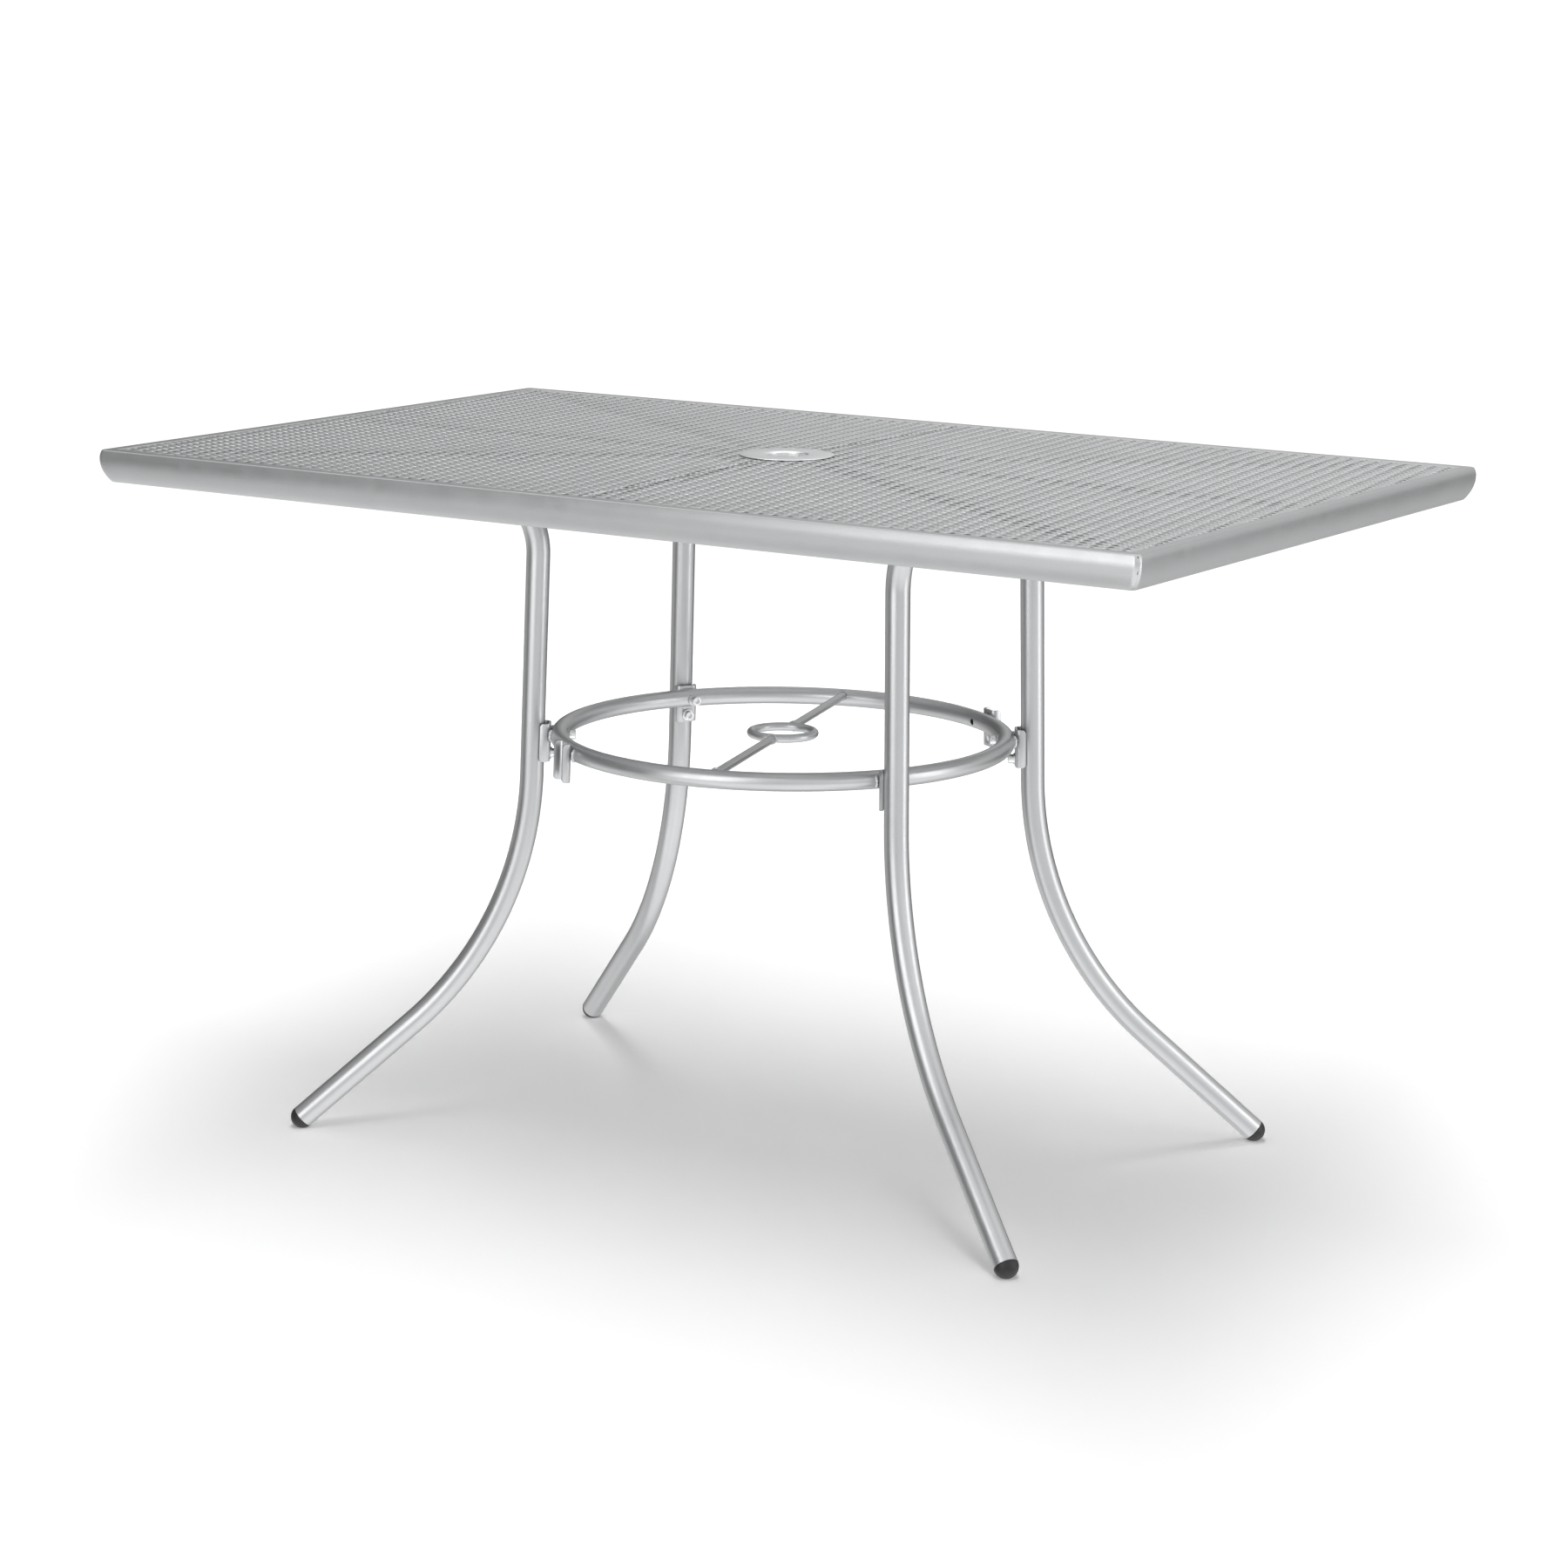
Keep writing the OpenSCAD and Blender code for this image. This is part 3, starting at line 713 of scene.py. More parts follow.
class TABLE_OT_mesh(bpy.types.Operator):
    """Lays the two sheets of flattened expanded mesh"""
    bl_idname = "garden_table.mesh"
    bl_label = "Expanded mesh"

    def execute(self, context):
        top = context.scene.table_top
        right = self.sheet(top)
        left = copy_of(right, spun(pi))
        for point in left.data.attributes["press"].data:
            point.value *= 0.6                  # weaker relief, and weaker painted highlight and shade, for the duller sheen on this side
        finish(right, "expanded_mesh_right", "mesh", "mesh", "mesh_right")
        finish(left, "expanded_mesh_left", "mesh", "mesh", "mesh_left")
        return tell(self, "Mesh laid")

    def sheet(self, top):
        at = levels()
        long, short = top.cell_length, top.cell_width
        open_x, open_y = top.hole_length / 2, top.hole_width / 2
        bond = 14.7 * MM          # from the opening's middle to the end of its strands
        rings = ((bond, long / 2 - bond, short / 2, -0.05 * MM),
                 (open_x + 1.2 * MM, 2.9 * MM, open_y + 0.55 * MM, 0.0),
                 (open_x, 2.7 * MM, open_y, -0.38 * MM))
        sheet = add("circle", vertices=6, radius=5 * MM, fill_type="NGON")
        edit(sheet)
        bpy.ops.mesh.select_mode(type="FACE")
        select_all()
        bpy.ops.mesh.inset(thickness=1 * MM)
        bpy.ops.mesh.inset(thickness=1 * MM)
        bpy.ops.mesh.delete(type="FACE")
        leave_edit()
        points = sorted(sheet.data.vertices, key=lambda v: -v.co.length)
        for index, (tip, flat, side, drop) in enumerate(rings):
            corners = ((tip, 0), (flat, side), (-flat, side), (-tip, 0), (-flat, -side),
                       (flat, -side))
            for point in points[6 * index:6 * index + 6]:
                turned = round(atan2(-point.co.x, point.co.y) / (pi / 3)) % 6
                point.co = (*corners[turned], drop)
        other = copy_of(sheet, shifted(long / 2, short / 2, 0))
        sheet = join([sheet, other])
        for count, way in ((int(1.35 * at["half_x"] / long) + 2, (long, 0, 0)),
                           (int(2.8 * at["half_y"] / short) + 3, (0, short, 0))):
            modify(sheet, "ARRAY", count=count, use_relative_offset=False,
                   use_constant_offset=True, constant_offset_displace=way)
        sheet.matrix_world = shifted(-3 * long, -37 * short, 0)
        settle(sheet)
        edit(sheet)
        select_all()
        bpy.ops.mesh.remove_doubles(threshold=0.01 * MM)
        leave_edit()
        move_points(sheet, lambda p: (p.x - RACK[0] * p.y, p.y - RACK[1] * p.x, p.z))
        for point, normal in (((0.8 * MM, 0, 0), (-1, 0, 0)), ((at["half_x"], 0, 0), (1, 0, 0)),
                              ((0, at["half_y"], 0), (0, 1, 0)),
                              ((0, -at["half_y"], 0), (0, -1, 0))):
            bisect(sheet, point, normal, fill=False)
        edit(sheet)
        pick(sheet, "FACE", lambda p, n: hypot(p.x, p.y) < at["hole"] + 6 * MM)
        bpy.ops.mesh.delete(type="FACE")
        bpy.ops.mesh.select_mode(type="VERT")
        select_all()
        bpy.ops.mesh.remove_doubles(threshold=0.005 * MM)
        leave_edit()

        def inside(p):
            """Distance of a point from the nearest rim."""
            return min(at["half_x"] - p.x, at["half_y"] - abs(p.y))

        def crowned(p):
            share = max(abs(p.x) / at["half_x"], abs(p.y) / at["half_y"])
            return (p.x, p.y, at["mesh_top"] + p.z * min(1.0, 0.25 + inside(p) / (30 * MM))
                    + top.crown * (1 - share))

        places = [v.co for v in sheet.data.vertices]
        square = 1 - RACK[0] * RACK[1]
        cells = [((p.x + RACK[0] * p.y) / square / long,
                  (p.y + RACK[1] * p.x) / square / short) for p in places]
        press = [min(1.0, max(0.2, inside(p) / (32 * MM))) for p in places]
        move_points(sheet, crowned)
        face_toward(sheet, (0.3, 0, at["mesh_top"]), (0, 0, 1))
        modify(sheet, "SOLIDIFY", thickness=top.mesh * 0.94, offset=-1)
        self.map_cells(sheet.data, cells, press)
        take(sheet)
        bpy.ops.object.shade_smooth()
        return sheet

    def map_cells(self, mesh, cells, press):
        """Maps the cells of the mesh, its pressing and the depth in the walls of its cuts."""
        points = len(cells)
        layer = mesh.uv_layers.new(name="cells")
        pressed = mesh.attributes.new("press", "FLOAT", "POINT")
        depth = mesh.attributes.new("cut_depth", "FLOAT", "CORNER")
        for point in mesh.vertices:
            pressed.data[point.index].value = press[point.index % points]
        for face in mesh.polygons:
            wall = abs(face.normal.z) < 0.6
            for corner in face.loop_indices:
                index = mesh.loops[corner].vertex_index
                layer.data[corner].uv = cells[index % points]
                depth.data[corner].value = 1.0 if wall and index >= points else 0.0


class TABLE_OT_plate(bpy.types.Operator):
    """Spins the cover plate and its sleeve round the umbrella hole"""
    bl_idname = "garden_table.plate"
    bl_label = "Cover plate"

    def execute(self, context):
        top, at = context.scene.table_top, levels()
        bore, roll = top.bore / 2, top.plate_sheet + 0.8 * MM
        face = at["plate"] + top.plate_sheet
        edge = 0.7 * MM
        plate = trace((bore, at["plate"] - top.sleeve), (bore, face - roll))
        sweep((bore + roll, 0, face - roll), (0, 1, 0), pi / 2, 8)
        draw((top.plate / 2 - edge - bore - roll, 0, 0))
        sweep((top.plate / 2 - edge, 0, face - edge), (0, 1, 0), pi / 2, 4)
        revolve(plate, (0, 0, 1), 128)
        face_toward(plate, (top.plate / 2 - 10 * MM, 0, face), (0, 0, 1))
        modify(plate, "SOLIDIFY", thickness=top.plate_sheet, offset=-1)
        smooth(plate, 40)
        finish(plate, "pole_cover_plate", "plate", "plate", "umbrella_plate")
        return tell(self, "Cover plate spun")


class TABLE_OT_braces(bpy.types.Operator):
    """Cuts the hub plate and the flat braces under the mesh"""
    bl_idname = "garden_table.braces"
    bl_label = "Hub and braces"

    def execute(self, context):
        top, at = context.scene.table_top, levels()
        hub = add("cylinder", vertices=96, radius=top.hub, depth=top.brace,
                  location=(0, 0, at["hub_top"] - top.brace / 2))
        cut_with(hub, add("cylinder", vertices=64, depth=3 * top.brace,
                          radius=top.bore / 2 + top.plate_sheet + 0.1 * MM,
                          location=(0, 0, at["hub_top"])))
        smooth(bevel(hub, 0.6 * MM))
        finish(hub, "sheared_hub_plate", "coat", "frame", "hub_plate")
        braces = [("seam_brace_front", -pi / 2, at["half_y"]),
                  ("seam_brace_back", pi / 2, at["half_y"]),
                  ("long_brace_left", pi, at["half_x"]), ("long_brace_right", 0.0, at["half_x"])]
        braces += [(f"corner_brace_{name}", angle, at["diagonal"])
                   for name, angle in zip(CORNERS, corner_turns())]
        for name, angle, reach in braces:
            bar = self.brace(top, at, angle, reach)
            finish(bar, f"flat_{name}", "coat", "frame", name)
        return tell(self, "Braces cut")

    def brace(self, top, at, angle, reach):
        bar = add("cube", size=1.0)
        bar.scale = (reach, top.brace_width, top.brace)
        settle(bar)
        bar.matrix_world = (
            spun(angle)
            @ shifted(0, 0, at["mesh_bottom"] + top.crown - 0.2 * MM)
            @ tilted(atan2(top.crown, reach))
            @ shifted(top.hub - 10 * MM + reach / 2, 0, -top.brace / 2))
        settle(bar)
        cut_with(bar, add("cylinder", vertices=96, radius=top.hub + 0.05 * MM, depth=0.1,
                          location=(0, 0, top.height)))
        clear = top.lip + FLANGE + 0.5 * MM
        for side in (-1, 1):
            bisect(bar, (side * (top.length / 2 - clear), 0, 0), (side, 0, 0))
            bisect(bar, (0, side * (top.width / 2 - clear), 0), (0, side, 0))
        tidy(bar)
        return smooth(bevel(bar, 0.7 * MM))


class TABLE_OT_legs(bpy.types.Operator):
    """Bends the four legs from round tube"""
    bl_idname = "garden_table.legs"
    bl_label = "Bent legs"

    def execute(self, context):
        sizes, line = context.scene.table_legs, leg_line()
        r = sizes.tube / 2
        inward = Vector((-cos(line["drop"]), 0, sin(line["drop"])))
        leg = add("circle", vertices=48, radius=r, fill_type="NGON",
                  location=upright(line["arm_end"]),
                  rotation=inward.to_track_quat("Z", "Y").to_euler())
        edit(leg)
        bpy.ops.mesh.select_mode(type="FACE")
        select_all()
        draw(upright(line["arm_start"] - line["arm_end"]))
        sweep(upright(line["upper"]), (0, -1, 0), pi / 2 + line["drop"] + sizes.lean, 28)
        draw(upright(line["low"] - line["high"]))
        sweep(upright(line["lower"]), (0, -1, 0), sizes.foot - sizes.lean, 40)
        draw(upright(line["foot_end"] - line["foot_start"]))
        leave_edit()
        smooth(tidy(leg), 50)
        for name, angle in zip(CORNERS, corner_turns()):
            piece = copy_of(leg, spun(angle))
            finish(piece, f"bent_leg_{name}", "coat", "frame", f"leg_{name}")
        remove(leg)
        return tell(self, "Legs bent")


class TABLE_OT_caps(bpy.types.Operator):
    """Moulds the domed foot caps and the plugs of the arms"""
    bl_idname = "garden_table.caps"
    bl_label = "Caps and plugs"

    def execute(self, context):
        sizes, line = context.scene.table_legs, leg_line()
        cap_r, fit_r = sizes.tube / 2 + 0.1 * MM, sizes.tube / 2 - 2.1 * MM
        cap = trace((0, -18 * MM), (fit_r - 1 * MM, -18 * MM), (fit_r, -16.5 * MM), (fit_r, 0),
                    (cap_r - 0.4 * MM, 0), (cap_r, 0.4 * MM))
        sweep((0, 0, 0.4 * MM), (0, -1, 0), pi / 2, 20)
        revolve(cap, (0, 0, 1), 48)
        plug = trace((0, -16 * MM), (fit_r - 1 * MM, -16 * MM), (fit_r, -14.5 * MM),
                     (fit_r, 0.02 * MM), (fit_r + 2 * MM, 0.02 * MM),
                     (fit_r + 2 * MM, 1.52 * MM))
        sweep((cap_r - 1.2 * MM, 0, 1.52 * MM), (0, -1, 0), pi / 2, 5)
        draw((-cap_r + 1.2 * MM, 0, 0))
        revolve(plug, (0, 0, 1), 48)
        for name, angle in zip(CORNERS, corner_turns()):
            foot = copy_of(cap, spun(angle) @ shifted(*upright(line["foot_end"]))
                           @ tilted(pi - sizes.foot))
            bisect(foot, (0, 0, 0), (0, 0, -1))
            smooth(tidy(foot), 40)
            finish(foot, f"domed_foot_cap_{name}", "plastic", "cap", f"foot_cap_{name}")
            end = copy_of(plug, spun(angle) @ shifted(*upright(line["arm_end"]))
                          @ tilted(pi / 2 + line["drop"]))
            finish(smooth(end, 40), f"moulded_arm_plug_{name}", "plastic", "cap",
                   f"arm_plug_{name}")
        remove(cap, plug)
        return tell(self, "Caps moulded")


class TABLE_OT_ring(bpy.types.Operator):
    """Bends the ring tube and its rods"""
    bl_idname = "garden_table.ring"
    bl_label = "Ring brace"

    def execute(self, context):
        sizes, at = context.scene.table_ring, clip_frame()
        r, rod = sizes.tube / 2, sizes.rod / 2
        ring = add("torus", major_segments=180, minor_segments=28, major_radius=at["ring"],
                   minor_radius=r, location=(0, 0, sizes.height))
        modify(ring, "SOLIDIFY", thickness=sizes.wall, offset=-1)
        for angle in bracket_turns().values():
            drill = bar_between((at["tube"] - sizes.tube, 0, 0),
                                (at["tube"] + sizes.tube - 6 * MM, 0, 0), BOLT_HOLE)
            drill.matrix_world = at_bracket(angle)
            cut_with(ring, settle(drill))
        smooth(ring, 40)
        finish(ring, "bent_ring_tube", "coat", "frame", "ring_tube")
        level = sizes.height + ROD_RISE
        eye = add("torus", major_segments=96, minor_segments=24,
                  major_radius=sizes.centre / 2 - rod, minor_radius=rod, location=(0, 0, level))
        finish(smooth(eye, 60), "rod_centre_ring", "coat", "frame", "centre_ring")
        for name, angle in (("back", sizes.rod_turn), ("front", sizes.rod_turn + pi)):
            bar = self.rod(sizes, at, level, angle)
            finish(bar, f"round_cross_rod_{name}", "coat", "frame", f"cross_rod_{name}")
        return tell(self, "Ring bent")

    def rod(self, sizes, at, level, angle):
        """A rod whose ends are coped to the ring tube and the centre ring."""
        rod, r = sizes.rod / 2, sizes.tube / 2
        inner = sizes.centre / 2 - rod
        bar = bar_between((inner, 0, level), (at["ring"], 0, level), rod - 0.05 * MM)
        cut_with(bar,
                 add("torus", major_segments=120, minor_segments=32, major_radius=inner,
                     minor_radius=rod - 0.1 * MM, location=(0, 0, level)),
                 add("torus", major_segments=240, minor_segments=32, major_radius=at["ring"],
                     minor_radius=r - 0.1 * MM, location=(0, 0, sizes.height)))
        bar.matrix_world = spun(angle)
        return smooth(tidy(settle(bar)), 40)


class TABLE_OT_brackets(bpy.types.Operator):
    """Presses the channel brackets that hold the legs to the ring"""
    bl_idname = "garden_table.brackets"
    bl_label = "Channel brackets"

    def execute(self, context):
        sizes, at = context.scene.table_ring, clip_frame()
        low = sizes.clip_above - sizes.clip_height
        fold, half = 6 * MM, at["half"]
        clip = start_line((at["lip"], -half, low))
        draw((at["back"] + fold - at["lip"], 0, 0))
        for side, step in ((-1, (0, 2 * (half - fold), 0)),
                           (1, (at["lip"] - at["back"] - fold, 0, 0))):
            sweep((at["back"] + fold, side * (half - fold), low), (0, 0, -1), pi / 2, 8)
            draw(step)
        select_all()
        draw((0, 0, sizes.clip_height))
        pick(clip, "VERT", lambda p, n: abs(p.x - at["lip"]) < 0.1 * MM)
        bpy.ops.mesh.bevel(offset=4 * MM, segments=5, affect="VERTICES")
        leave_edit()
        tidy(clip)
        face_toward(clip, (at["back"], 0, 0), (-1, 0, 0))
        modify(clip, "SOLIDIFY", thickness=sizes.clip_wall, offset=-1)
        for height in (0, -sizes.screw_gap):
            cut_with(clip, bar_between((at["back"] - 5 * MM, 0, height),
                                       (at["lip"], 0, height), BOLT_HOLE))
        smooth(bevel(tidy(clip), 0.45 * MM, degrees=40))
        for name, angle in bracket_turns().items():
            piece = copy_of(clip, at_bracket(angle))
            finish(piece, f"pressed_{name}", "coat", "frame", name)
        remove(clip)
        return tell(self, "Brackets pressed")


class TABLE_OT_fasteners(bpy.types.Operator):
    """Fits the socket screws, washers and rivet nuts"""
    bl_idname = "garden_table.fasteners"
    bl_label = "Fasteners"

    def execute(self, context):
        top, leg = context.scene.table_top, context.scene.table_legs
        ring, at, line = context.scene.table_ring, clip_frame(), leg_line()
        r = leg.tube / 2
        brackets = [at_bracket(angle) for angle in corner_turns()]
        saddle_seat = at["tube"] - ring.tube / 2 - 1.52 * MM
        low = [m @ shifted(at["back"] - 1.62 * MM, 0, -ring.screw_gap) for m in brackets]
        under = shifted(0, 0, -r - 1.64 * MM) @ tilted(-pi / 2)
        arm = [spun(angle) @ shifted(u, 0, line["arm_start"].y
                                     - (u - line["arm_start"].x) * tan(line["drop"]))
               @ tilted(line["drop"]) @ under
               for angle in corner_turns() for u in (400 * MM, leg.arm - 40 * MM)]
        for name, model, material, slot, places in (
                ("long_screws", self.screw(40 * MM), "zinc", "fastener",
                 [m @ shifted(saddle_seat, 0, 0) for m in brackets]),
                ("short_screws", self.screw(20 * MM), "zinc", "fastener", low),
                ("flat_washers", self.washer(12.5 * MM), "zinc", "fastener", low),
                ("saddle_washers", self.saddle(ring), "coat", "frame",
                 [m @ shifted(at["tube"], 0, 0) for m in brackets]),
                ("rivet_nuts", self.rivet_nut(), "insert", "insert",
                 [m @ shifted(-r, 0, z) for m in brackets for z in (0, -ring.screw_gap)]),
                ("arm_screws", self.screw(leg.tube + top.brace + 1.3 * MM), "zinc", "fastener",
                 arm),
                ("arm_washers", self.washer(12 * MM), "zinc", "fastener", arm)):
            group = join([copy_of(model, place) for place in places])
            remove(model)
            finish(group, f"fitted_{name}", material, slot, name)
        return tell(self, "Fasteners fitted")

    def screw(self, length):
        """Socket screw along +X with its seat at the origin."""
        screw = add("cylinder", vertices=40, radius=5 * MM, depth=6 * MM,
                    location=(-3 * MM, 0, 0), rotation=(0, pi / 2, 0))
        edit(screw)
        pick(screw, "FACE", lambda p, n: n.x > 0.9)
        bpy.ops.mesh.inset(thickness=2 * MM)
        draw((length - 0.8 * MM, 0, 0))
        bpy.ops.mesh.inset(thickness=0.8 * MM)
        draw((0.8 * MM, 0, 0))
        leave_edit()
        socket = add("cylinder", vertices=6, radius=5.77 * MM / 2, depth=6 * MM,
                     location=(-6 * MM, 0, 0), rotation=(0, pi / 2, 0))
        cut_with(screw, socket)
        edit(screw)
        for near, far, width, segments in ((4.5 * MM, 6 * MM, 0.7 * MM, 3),
                                           (0, 3.5 * MM, 0.2 * MM, 1)):
            pick(screw, "EDGE", lambda p, d: abs(p.x + 6 * MM) < 0.01 * MM
                 and near < hypot(p.y, p.z) < far)
            bpy.ops.mesh.bevel(offset=width, segments=segments, affect="EDGES")
        leave_edit()
        return smooth(tidy(screw), 40)

    def washer(self, outer):
        """Washer along +X whose outer face lies at the origin."""
        thickness = 1.6 * MM
        washer = add("cylinder", vertices=40, radius=outer / 2, depth=thickness,
                     location=(thickness / 2, 0, 0), rotation=(0, pi / 2, 0))
        cut_with(washer, bar_between((-thickness, 0, 0), (2 * thickness, 0, 0), 3.2 * MM))
        return smooth(tidy(bevel(washer, 0.3 * MM)), 40)

    def saddle(self, ring):
        """Washer pressed to the inner side of the ring tube, about the tube's axis."""
        r, thick = ring.tube / 2, 1.5 * MM
        washer = add("grid", x_subdivisions=24, y_subdivisions=24, size=1.0)
        washer.scale = (16 * MM, 16 * MM, 1)
        settle(washer)
        edit(washer)
        pick(washer, "FACE", lambda p, n: hypot(p.x, p.y) < 3.6 * MM
             or hypot(p.x, p.y) > 7.6 * MM)
        bpy.ops.mesh.delete(type="FACE")
        leave_edit()

        def rounded(p):
            reach = hypot(p.x, p.y)
            if 4.2 * MM <= reach <= 6.9 * MM:
                return p
            return p * ((3.5 * MM if reach < 5 * MM else 7.5 * MM) / reach)

        move_points(washer, rounded)
        outer = r + 0.02 * MM + thick
        move_points(washer, lambda p: Vector((
            -sqrt(outer ** 2 - (0.92 * p.y) ** 2) + p.x ** 2 / 0.46, p.x, 0.92 * p.y)))
        tidy(washer)
        face_toward(washer, (-outer, 0, 5 * MM), (-1, 0, 0))
        modify(washer, "SOLIDIFY", thickness=thick, offset=-1)
        return smooth(bevel(washer, 0.25 * MM, segments=1, degrees=50), 40)

    def rivet_nut(self):
        """Flanged insert along +X whose flange seats on the leg at the origin."""
        nut = trace(*((x * MM, z * MM) for x, z in (
            (3, 3.05), (-0.9, 3.05), (-0.9, 5), (-0.6, 5.5), (1, 5.5), (1, 4.4), (11, 4.4),
            (11, 3.05), (3, 3.05))))
        return smooth(revolve(nut, (1, 0, 0), 32), 40)


class TABLE_OT_welds(bpy.types.Operator):
    """Lays the weld beads on brackets, rods and rim corners"""
    bl_idname = "garden_table.welds"
    bl_label = "Weld beads"

    def execute(self, context):
        ring, at = context.scene.table_ring, clip_frame()
        r, rod = ring.tube / 2, ring.rod / 2
        side = []
        for y in (-1, 1):
            path = []
            for i in range(7):
                z = (-5.5 + 11 * i / 6) * MM
                path.append((at["tube"] + sqrt(r * r - z * z) + 0.4 * MM,
                             y * (at["half"] + 0.3 * MM), z))
            side.append(self.bead(path, 2.1 * MM, 0.7 * MM, 3 + y))
        self.lay("bracket_welds", side, [at_bracket(a) for a in bracket_turns().values()])
        level = ring.height + ROD_RISE
        ends = []
        for reach, spread in ((at["ring"] - sqrt(r * r - ROD_RISE ** 2) - 0.3 * MM, 0.6 * MM),
                              (ring.centre / 2 + 0.4 * MM, 0.5 * MM)):
            path = [(reach, (rod + spread) * cos(t), level + (rod + spread) * sin(t))
                    for t in (i * 2 * pi / 14 for i in range(14))]
            ends.append(self.bead(path, 1.25 * MM, 0.25 * MM, 11))
        self.lay("rod_welds", ends, [spun(ring.rod_turn), spun(ring.rod_turn + pi)])
        self.corner_beads(context.scene.table_top)
        self.pinholes(context.scene.table_top)
        return tell(self, "Welds laid")

    def lay(self, name, beads, places):
        """Copies the beads to their places and keeps the copies together."""
        welds = [copy_of(bead, place) for place in places for bead in beads]
        remove(*beads)
        finish(join(welds), name, "weld", "frame")

    def inward(self, below):
        """How far the rim's outer face lies behind its bulge, at a depth below its top."""
        roll = UPPER_ROLL if below < BULGE else LOWER_ROLL
        return roll - sqrt(roll ** 2 - (below - BULGE) ** 2)

    def corner_beads(self, top):
        """Two thin beads beside the mitre of each rim corner."""
        beads = []
        turned = pi / 4 - 2.2 * MM / CORNER_ROUND
        reach = CORNER_ROUND - 0.75 * MM
        for side in (-1, 1):
            path = []
            for below in ((3.6 + 2.2 * i) * MM for i in range(6)):
                middle = -self.inward(below) - CORNER_ROUND
                x, y = (middle + reach * sin(turned), middle + reach * cos(turned))[::side]
                path.append((top.length / 2 + x, top.width / 2 + y, top.height - below))
            beads.append(self.bead(path, 0.95 * MM, 0.2 * MM, 5 + side, 0.25 * MM))
        pair = join(beads)
        welds = [pair] + [tidy(copy_of(pair, Matrix.Diagonal((x, y, 1, 1))))
                          for x, y in ((-1, 1), (-1, -1), (1, -1))]
        finish(join(welds), "corner_welds", "weld", "frame")

    def pinholes(self, top):
        """Dark spheres in the pinholes between the two beads of the near corner, as painted
        shade for the shadow inside them.
        """
        holes = []
        for below, aside in ((2.4, 0.0), (3.0, 0.0), (15.4, 0.0), (16.4, 0.0), (17.4, 0.0),
                             (7.6, 4.6)):
            middle = self.inward(below * MM) + CORNER_ROUND
            turned = pi / 4 + aside * MM / CORNER_ROUND
            reach = CORNER_ROUND - 0.62 * MM
            place = (top.length / 2 - middle + reach * sin(turned),
                     -top.width / 2 + middle - reach * cos(turned), top.height - below * MM)
            holes.append(add("ico_sphere", subdivisions=2,
                             radius=(0.7 if aside else 0.8) * MM, location=place))
        finish(join(holes), "corner_pinholes", "scale", "frame")

    def bead(self, path, radius, rough, seed, grain=0.45 * MM):
        """Overlapping drops along a path, melted together and roughened."""
        drops = [add("ico_sphere", subdivisions=2, location=point,
                     radius=radius * (0.85 + 0.3 * ((i * seed) % 3) / 2))
                 for i, point in enumerate(path)]
        bead = join(drops)
        modify(bead, "REMESH", mode="VOXEL", voxel_size=grain)
        pattern = bpy.data.textures.new("weld_ripple", "CLOUDS")
        pattern.noise_scale = 0.0022
        modify(bead, "DISPLACE", texture=pattern, texture_coords="LOCAL", strength=rough)
        return smooth(bead, 80)


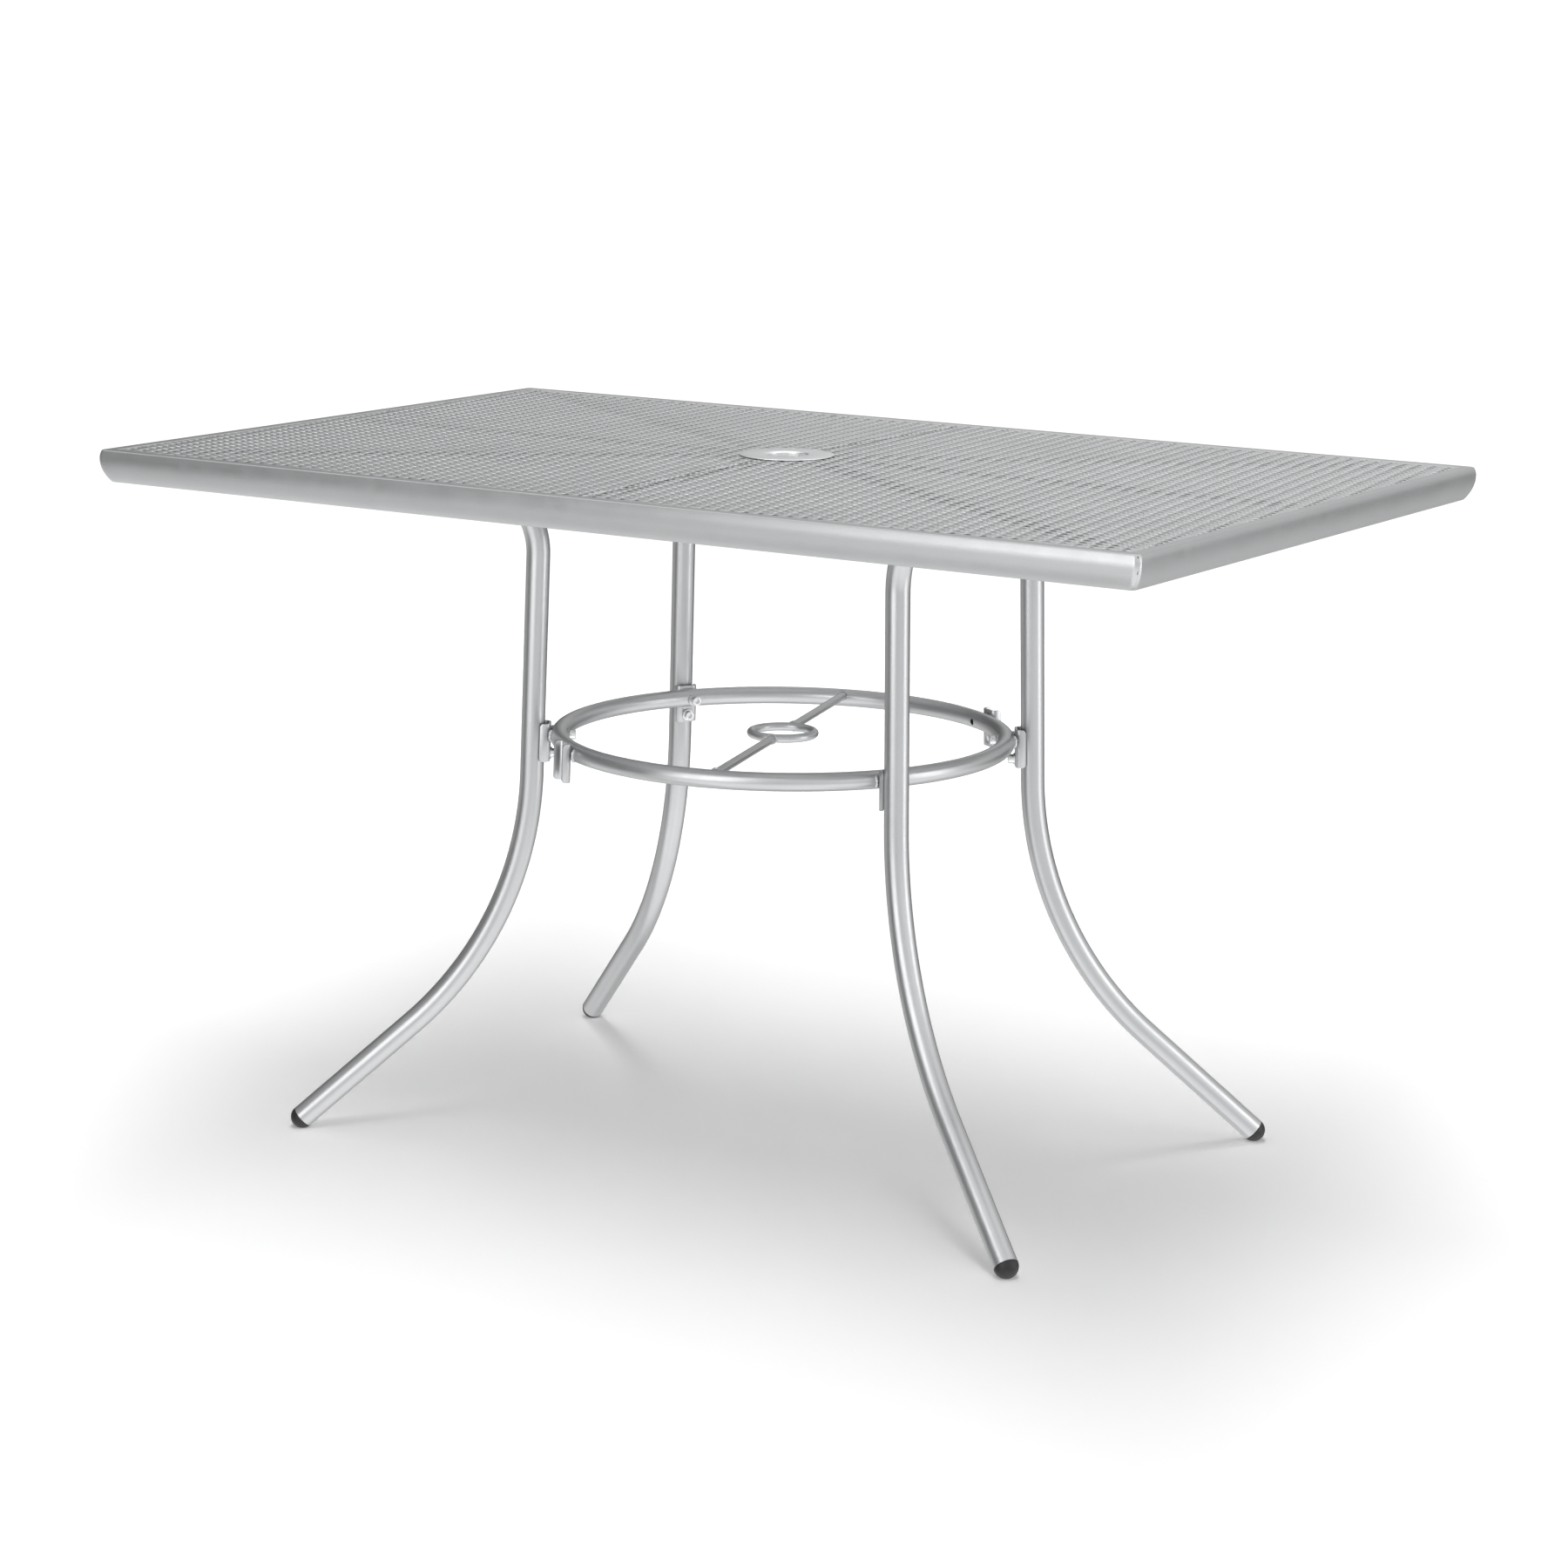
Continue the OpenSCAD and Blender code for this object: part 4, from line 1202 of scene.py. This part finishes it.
class TABLE_OT_stage(bpy.types.Operator):
    """Sets the floor, the light and the camera"""
    bl_idname = "garden_table.stage"
    bl_label = "Studio"

    def execute(self, context):
        studio = context.scene.table_studio
        floor = add("circle", vertices=96, radius=3.2, fill_type="NGON")
        floor.name = "studio_floor"
        floor.data.materials.append(studio_floor("white_board"))
        floor.visible_glossy = False
        self.camera(context, studio)
        for name, place, target, spread, watts, turned in (
                ("overhead_softbox", (0, 0, 8), (0, 0.001, 0), (1.9, 8.6), studio.overhead,
                 studio.yaw),
                ("left_softbox", (-0.2, -2.7, 1.3), (0.1, 0, 0.6), (1.8, 2.4), studio.left, 0),
                ("right_softbox", (2.1, 0.5, 0.6), (0, 0, 0.6), (0.9, 1.6), studio.right, 0)):
            lamp = self.light(name, place, target, spread, watts, turned)
            lamp.visible_glossy = name != "overhead_softbox"
            lamp.visible_diffuse = not lamp.visible_glossy
        self.world(context)
        context.scene.view_settings.view_transform = "Standard"
        return tell(self, "Studio set")

    def camera(self, context, studio):
        yaw, pitch, roll = studio.yaw, studio.pitch, studio.roll
        ahead = Vector((-sin(yaw) * cos(pitch), cos(yaw) * cos(pitch), -sin(pitch)))
        level = Vector((cos(yaw), sin(yaw), 0))
        rise = level.cross(ahead)
        right = level * cos(roll) + rise * sin(roll)
        up = rise * cos(roll) - level * sin(roll)
        deselect()
        bpy.ops.object.camera_add()
        camera = context.object
        camera.name = "studio_camera"
        place = Matrix((right, up, -ahead)).transposed().to_4x4()
        place.translation = (2.17089, -3.46209, 1.24952)
        camera.matrix_world = place
        camera.data.sensor_width = 36
        camera.data.lens = studio.lens
        camera.data.shift_x = 0.0308
        camera.data.shift_y = -0.0007
        camera.data.clip_end = 100
        context.scene.camera = camera

    def light(self, name, place, target, spread, watts, turned):
        deselect()
        bpy.ops.object.light_add(type="AREA", location=place)
        lamp = bpy.context.object
        lamp.name = name
        aim = (Vector(target) - Vector(place)).to_track_quat("-Z", "Y").to_euler()
        lamp.rotation_euler = (aim.x, aim.y, aim.z + turned)
        lamp.data.shape = "RECTANGLE"
        lamp.data.size, lamp.data.size_y = spread
        lamp.data.energy = watts
        return lamp

    def world(self, context):
        """White room: even light on matt surfaces, and large grey and white panels all round
        for the metal to mirror. Each stop is a direction in degrees from +X and a brightness."""
        low = ((-180, 0.66), (-150, 0.31), (-133, 0.02), (-120, 0.89), (-106, 1.08), (-90, 1.01),
               (-65, 0.86), (-35, 1.06), (-8, 0.96), (16, 0.84), (40, 0.99), (66, 0.34),
               (90, 0.10), (120, 0.07), (150, 0.31), (180, 0.66))
        high = ((-180, 0.24), (-140, 0.30), (-105, 0.65), (-60, 1.06), (-20, 1.42), (16, 1.20),
                (60, 0.80), (95, 0.58), (117, 0.66), (135, 0.14), (155, 0.13), (180, 0.24))
        world = bpy.data.worlds.new("studio_room")
        context.scene.world = world
        world.use_nodes = True
        tree = world.node_tree
        tree.nodes.clear()
        way = node(tree, "ShaderNodeTexCoord").outputs["Generated"]
        parts = node(tree, "ShaderNodeSeparateXYZ", {"Vector": way}).outputs
        round_room = span(tree, math(tree, "ARCTAN2", parts["Y"], parts["X"]), -pi, pi, 0.0, 1.0)
        panels = []
        for stops in (low, high):
            ramp = node(tree, "ShaderNodeValToRGB", {"Fac": round_room})
            points = ramp.color_ramp.elements
            for index, (degrees, bright) in enumerate(stops):
                place = (degrees + 180) / 360
                point = points[index] if index < 2 else points.new(place)
                point.position, point.color = place, (bright, bright, bright, 1)
            panels.append(ramp.outputs["Color"])
        height = span(tree, parts["Z"], -0.03, 0.12, 0.0, 1.0)
        wall = node(tree, "ShaderNodeMix", {"Factor": height, "A": panels[0], "B": panels[1]},
                    data_type="RGBA").outputs["Result"]
        roof = span(tree, parts["Z"], 0.5, 0.8, 0.0, 1.0)
        room = node(tree, "ShaderNodeMix", {"Factor": roof, "A": wall, "B": (1.28,) * 3 + (1,)},
                    data_type="RGBA").outputs["Result"]
        ground = span(tree, parts["Z"], -0.15, -0.5, 0.0, 0.62)
        room = node(tree, "ShaderNodeVectorMath", {0: room, 1: ground}).outputs["Vector"]
        rays = node(tree, "ShaderNodeLightPath").outputs
        white = (1, 1, 1, 1)
        mirror, matt, seen = (
            node(tree, "ShaderNodeBackground", {"Color": colour, "Strength": bright}).outputs[0]
            for colour, bright in ((room, 1.0), (white, 0.04), (white, 1.1)))
        for ray, surface in (("Is Diffuse Ray", matt), ("Is Camera Ray", seen)):
            mirror = node(tree, "ShaderNodeMixShader", {
                0: rays[ray], 1: mirror, 2: surface}).outputs[0]
        node(tree, "ShaderNodeOutputWorld", {"Surface": mirror})


class TABLE_PT_sidebar(bpy.types.Panel):
    """Lists the table's pieces in the order in which they are made"""
    bl_idname = "TABLE_PT_sidebar"
    bl_label = "Garden table"
    bl_space_type = "VIEW_3D"
    bl_region_type = "UI"
    bl_category = "Garden table"

    def draw(self, context):
        for operator in PIECES:
            self.layout.operator(operator.bl_idname)
        for group in ("table_top", "table_legs", "table_ring", "table_finishes", "table_studio"):
            settings = getattr(context.scene, group)
            box = self.layout.box()
            for key in settings.bl_rna.properties.keys():
                if key not in {"rna_type", "name"}:
                    box.prop(settings, key)


GROUPS = {"table_top": TopSizes, "table_legs": LegSizes, "table_ring": RingSizes,
          "table_finishes": Finishes, "table_studio": StudioSettings}
PIECES = (TABLE_OT_rims, TABLE_OT_mesh, TABLE_OT_plate, TABLE_OT_braces, TABLE_OT_legs,
          TABLE_OT_caps, TABLE_OT_ring, TABLE_OT_brackets, TABLE_OT_fasteners, TABLE_OT_welds,
          TABLE_OT_stage)


def register():
    for cls in (*GROUPS.values(), *PIECES, TABLE_PT_sidebar):
        bpy.utils.register_class(cls)
    for name, cls in GROUPS.items():
        setattr(bpy.types.Scene, name, PointerProperty(type=cls))


def unregister():
    for name in GROUPS:
        delattr(bpy.types.Scene, name)
    for cls in (TABLE_PT_sidebar, *reversed(PIECES), *reversed(list(GROUPS.values()))):
        bpy.utils.unregister_class(cls)


def main():
    register()
    make_finishes()
    for operator in PIECES:
        group, name = operator.bl_idname.split(".")
        getattr(getattr(bpy.ops, group), name)()
    deselect()


if __name__ == "__main__":
    main()
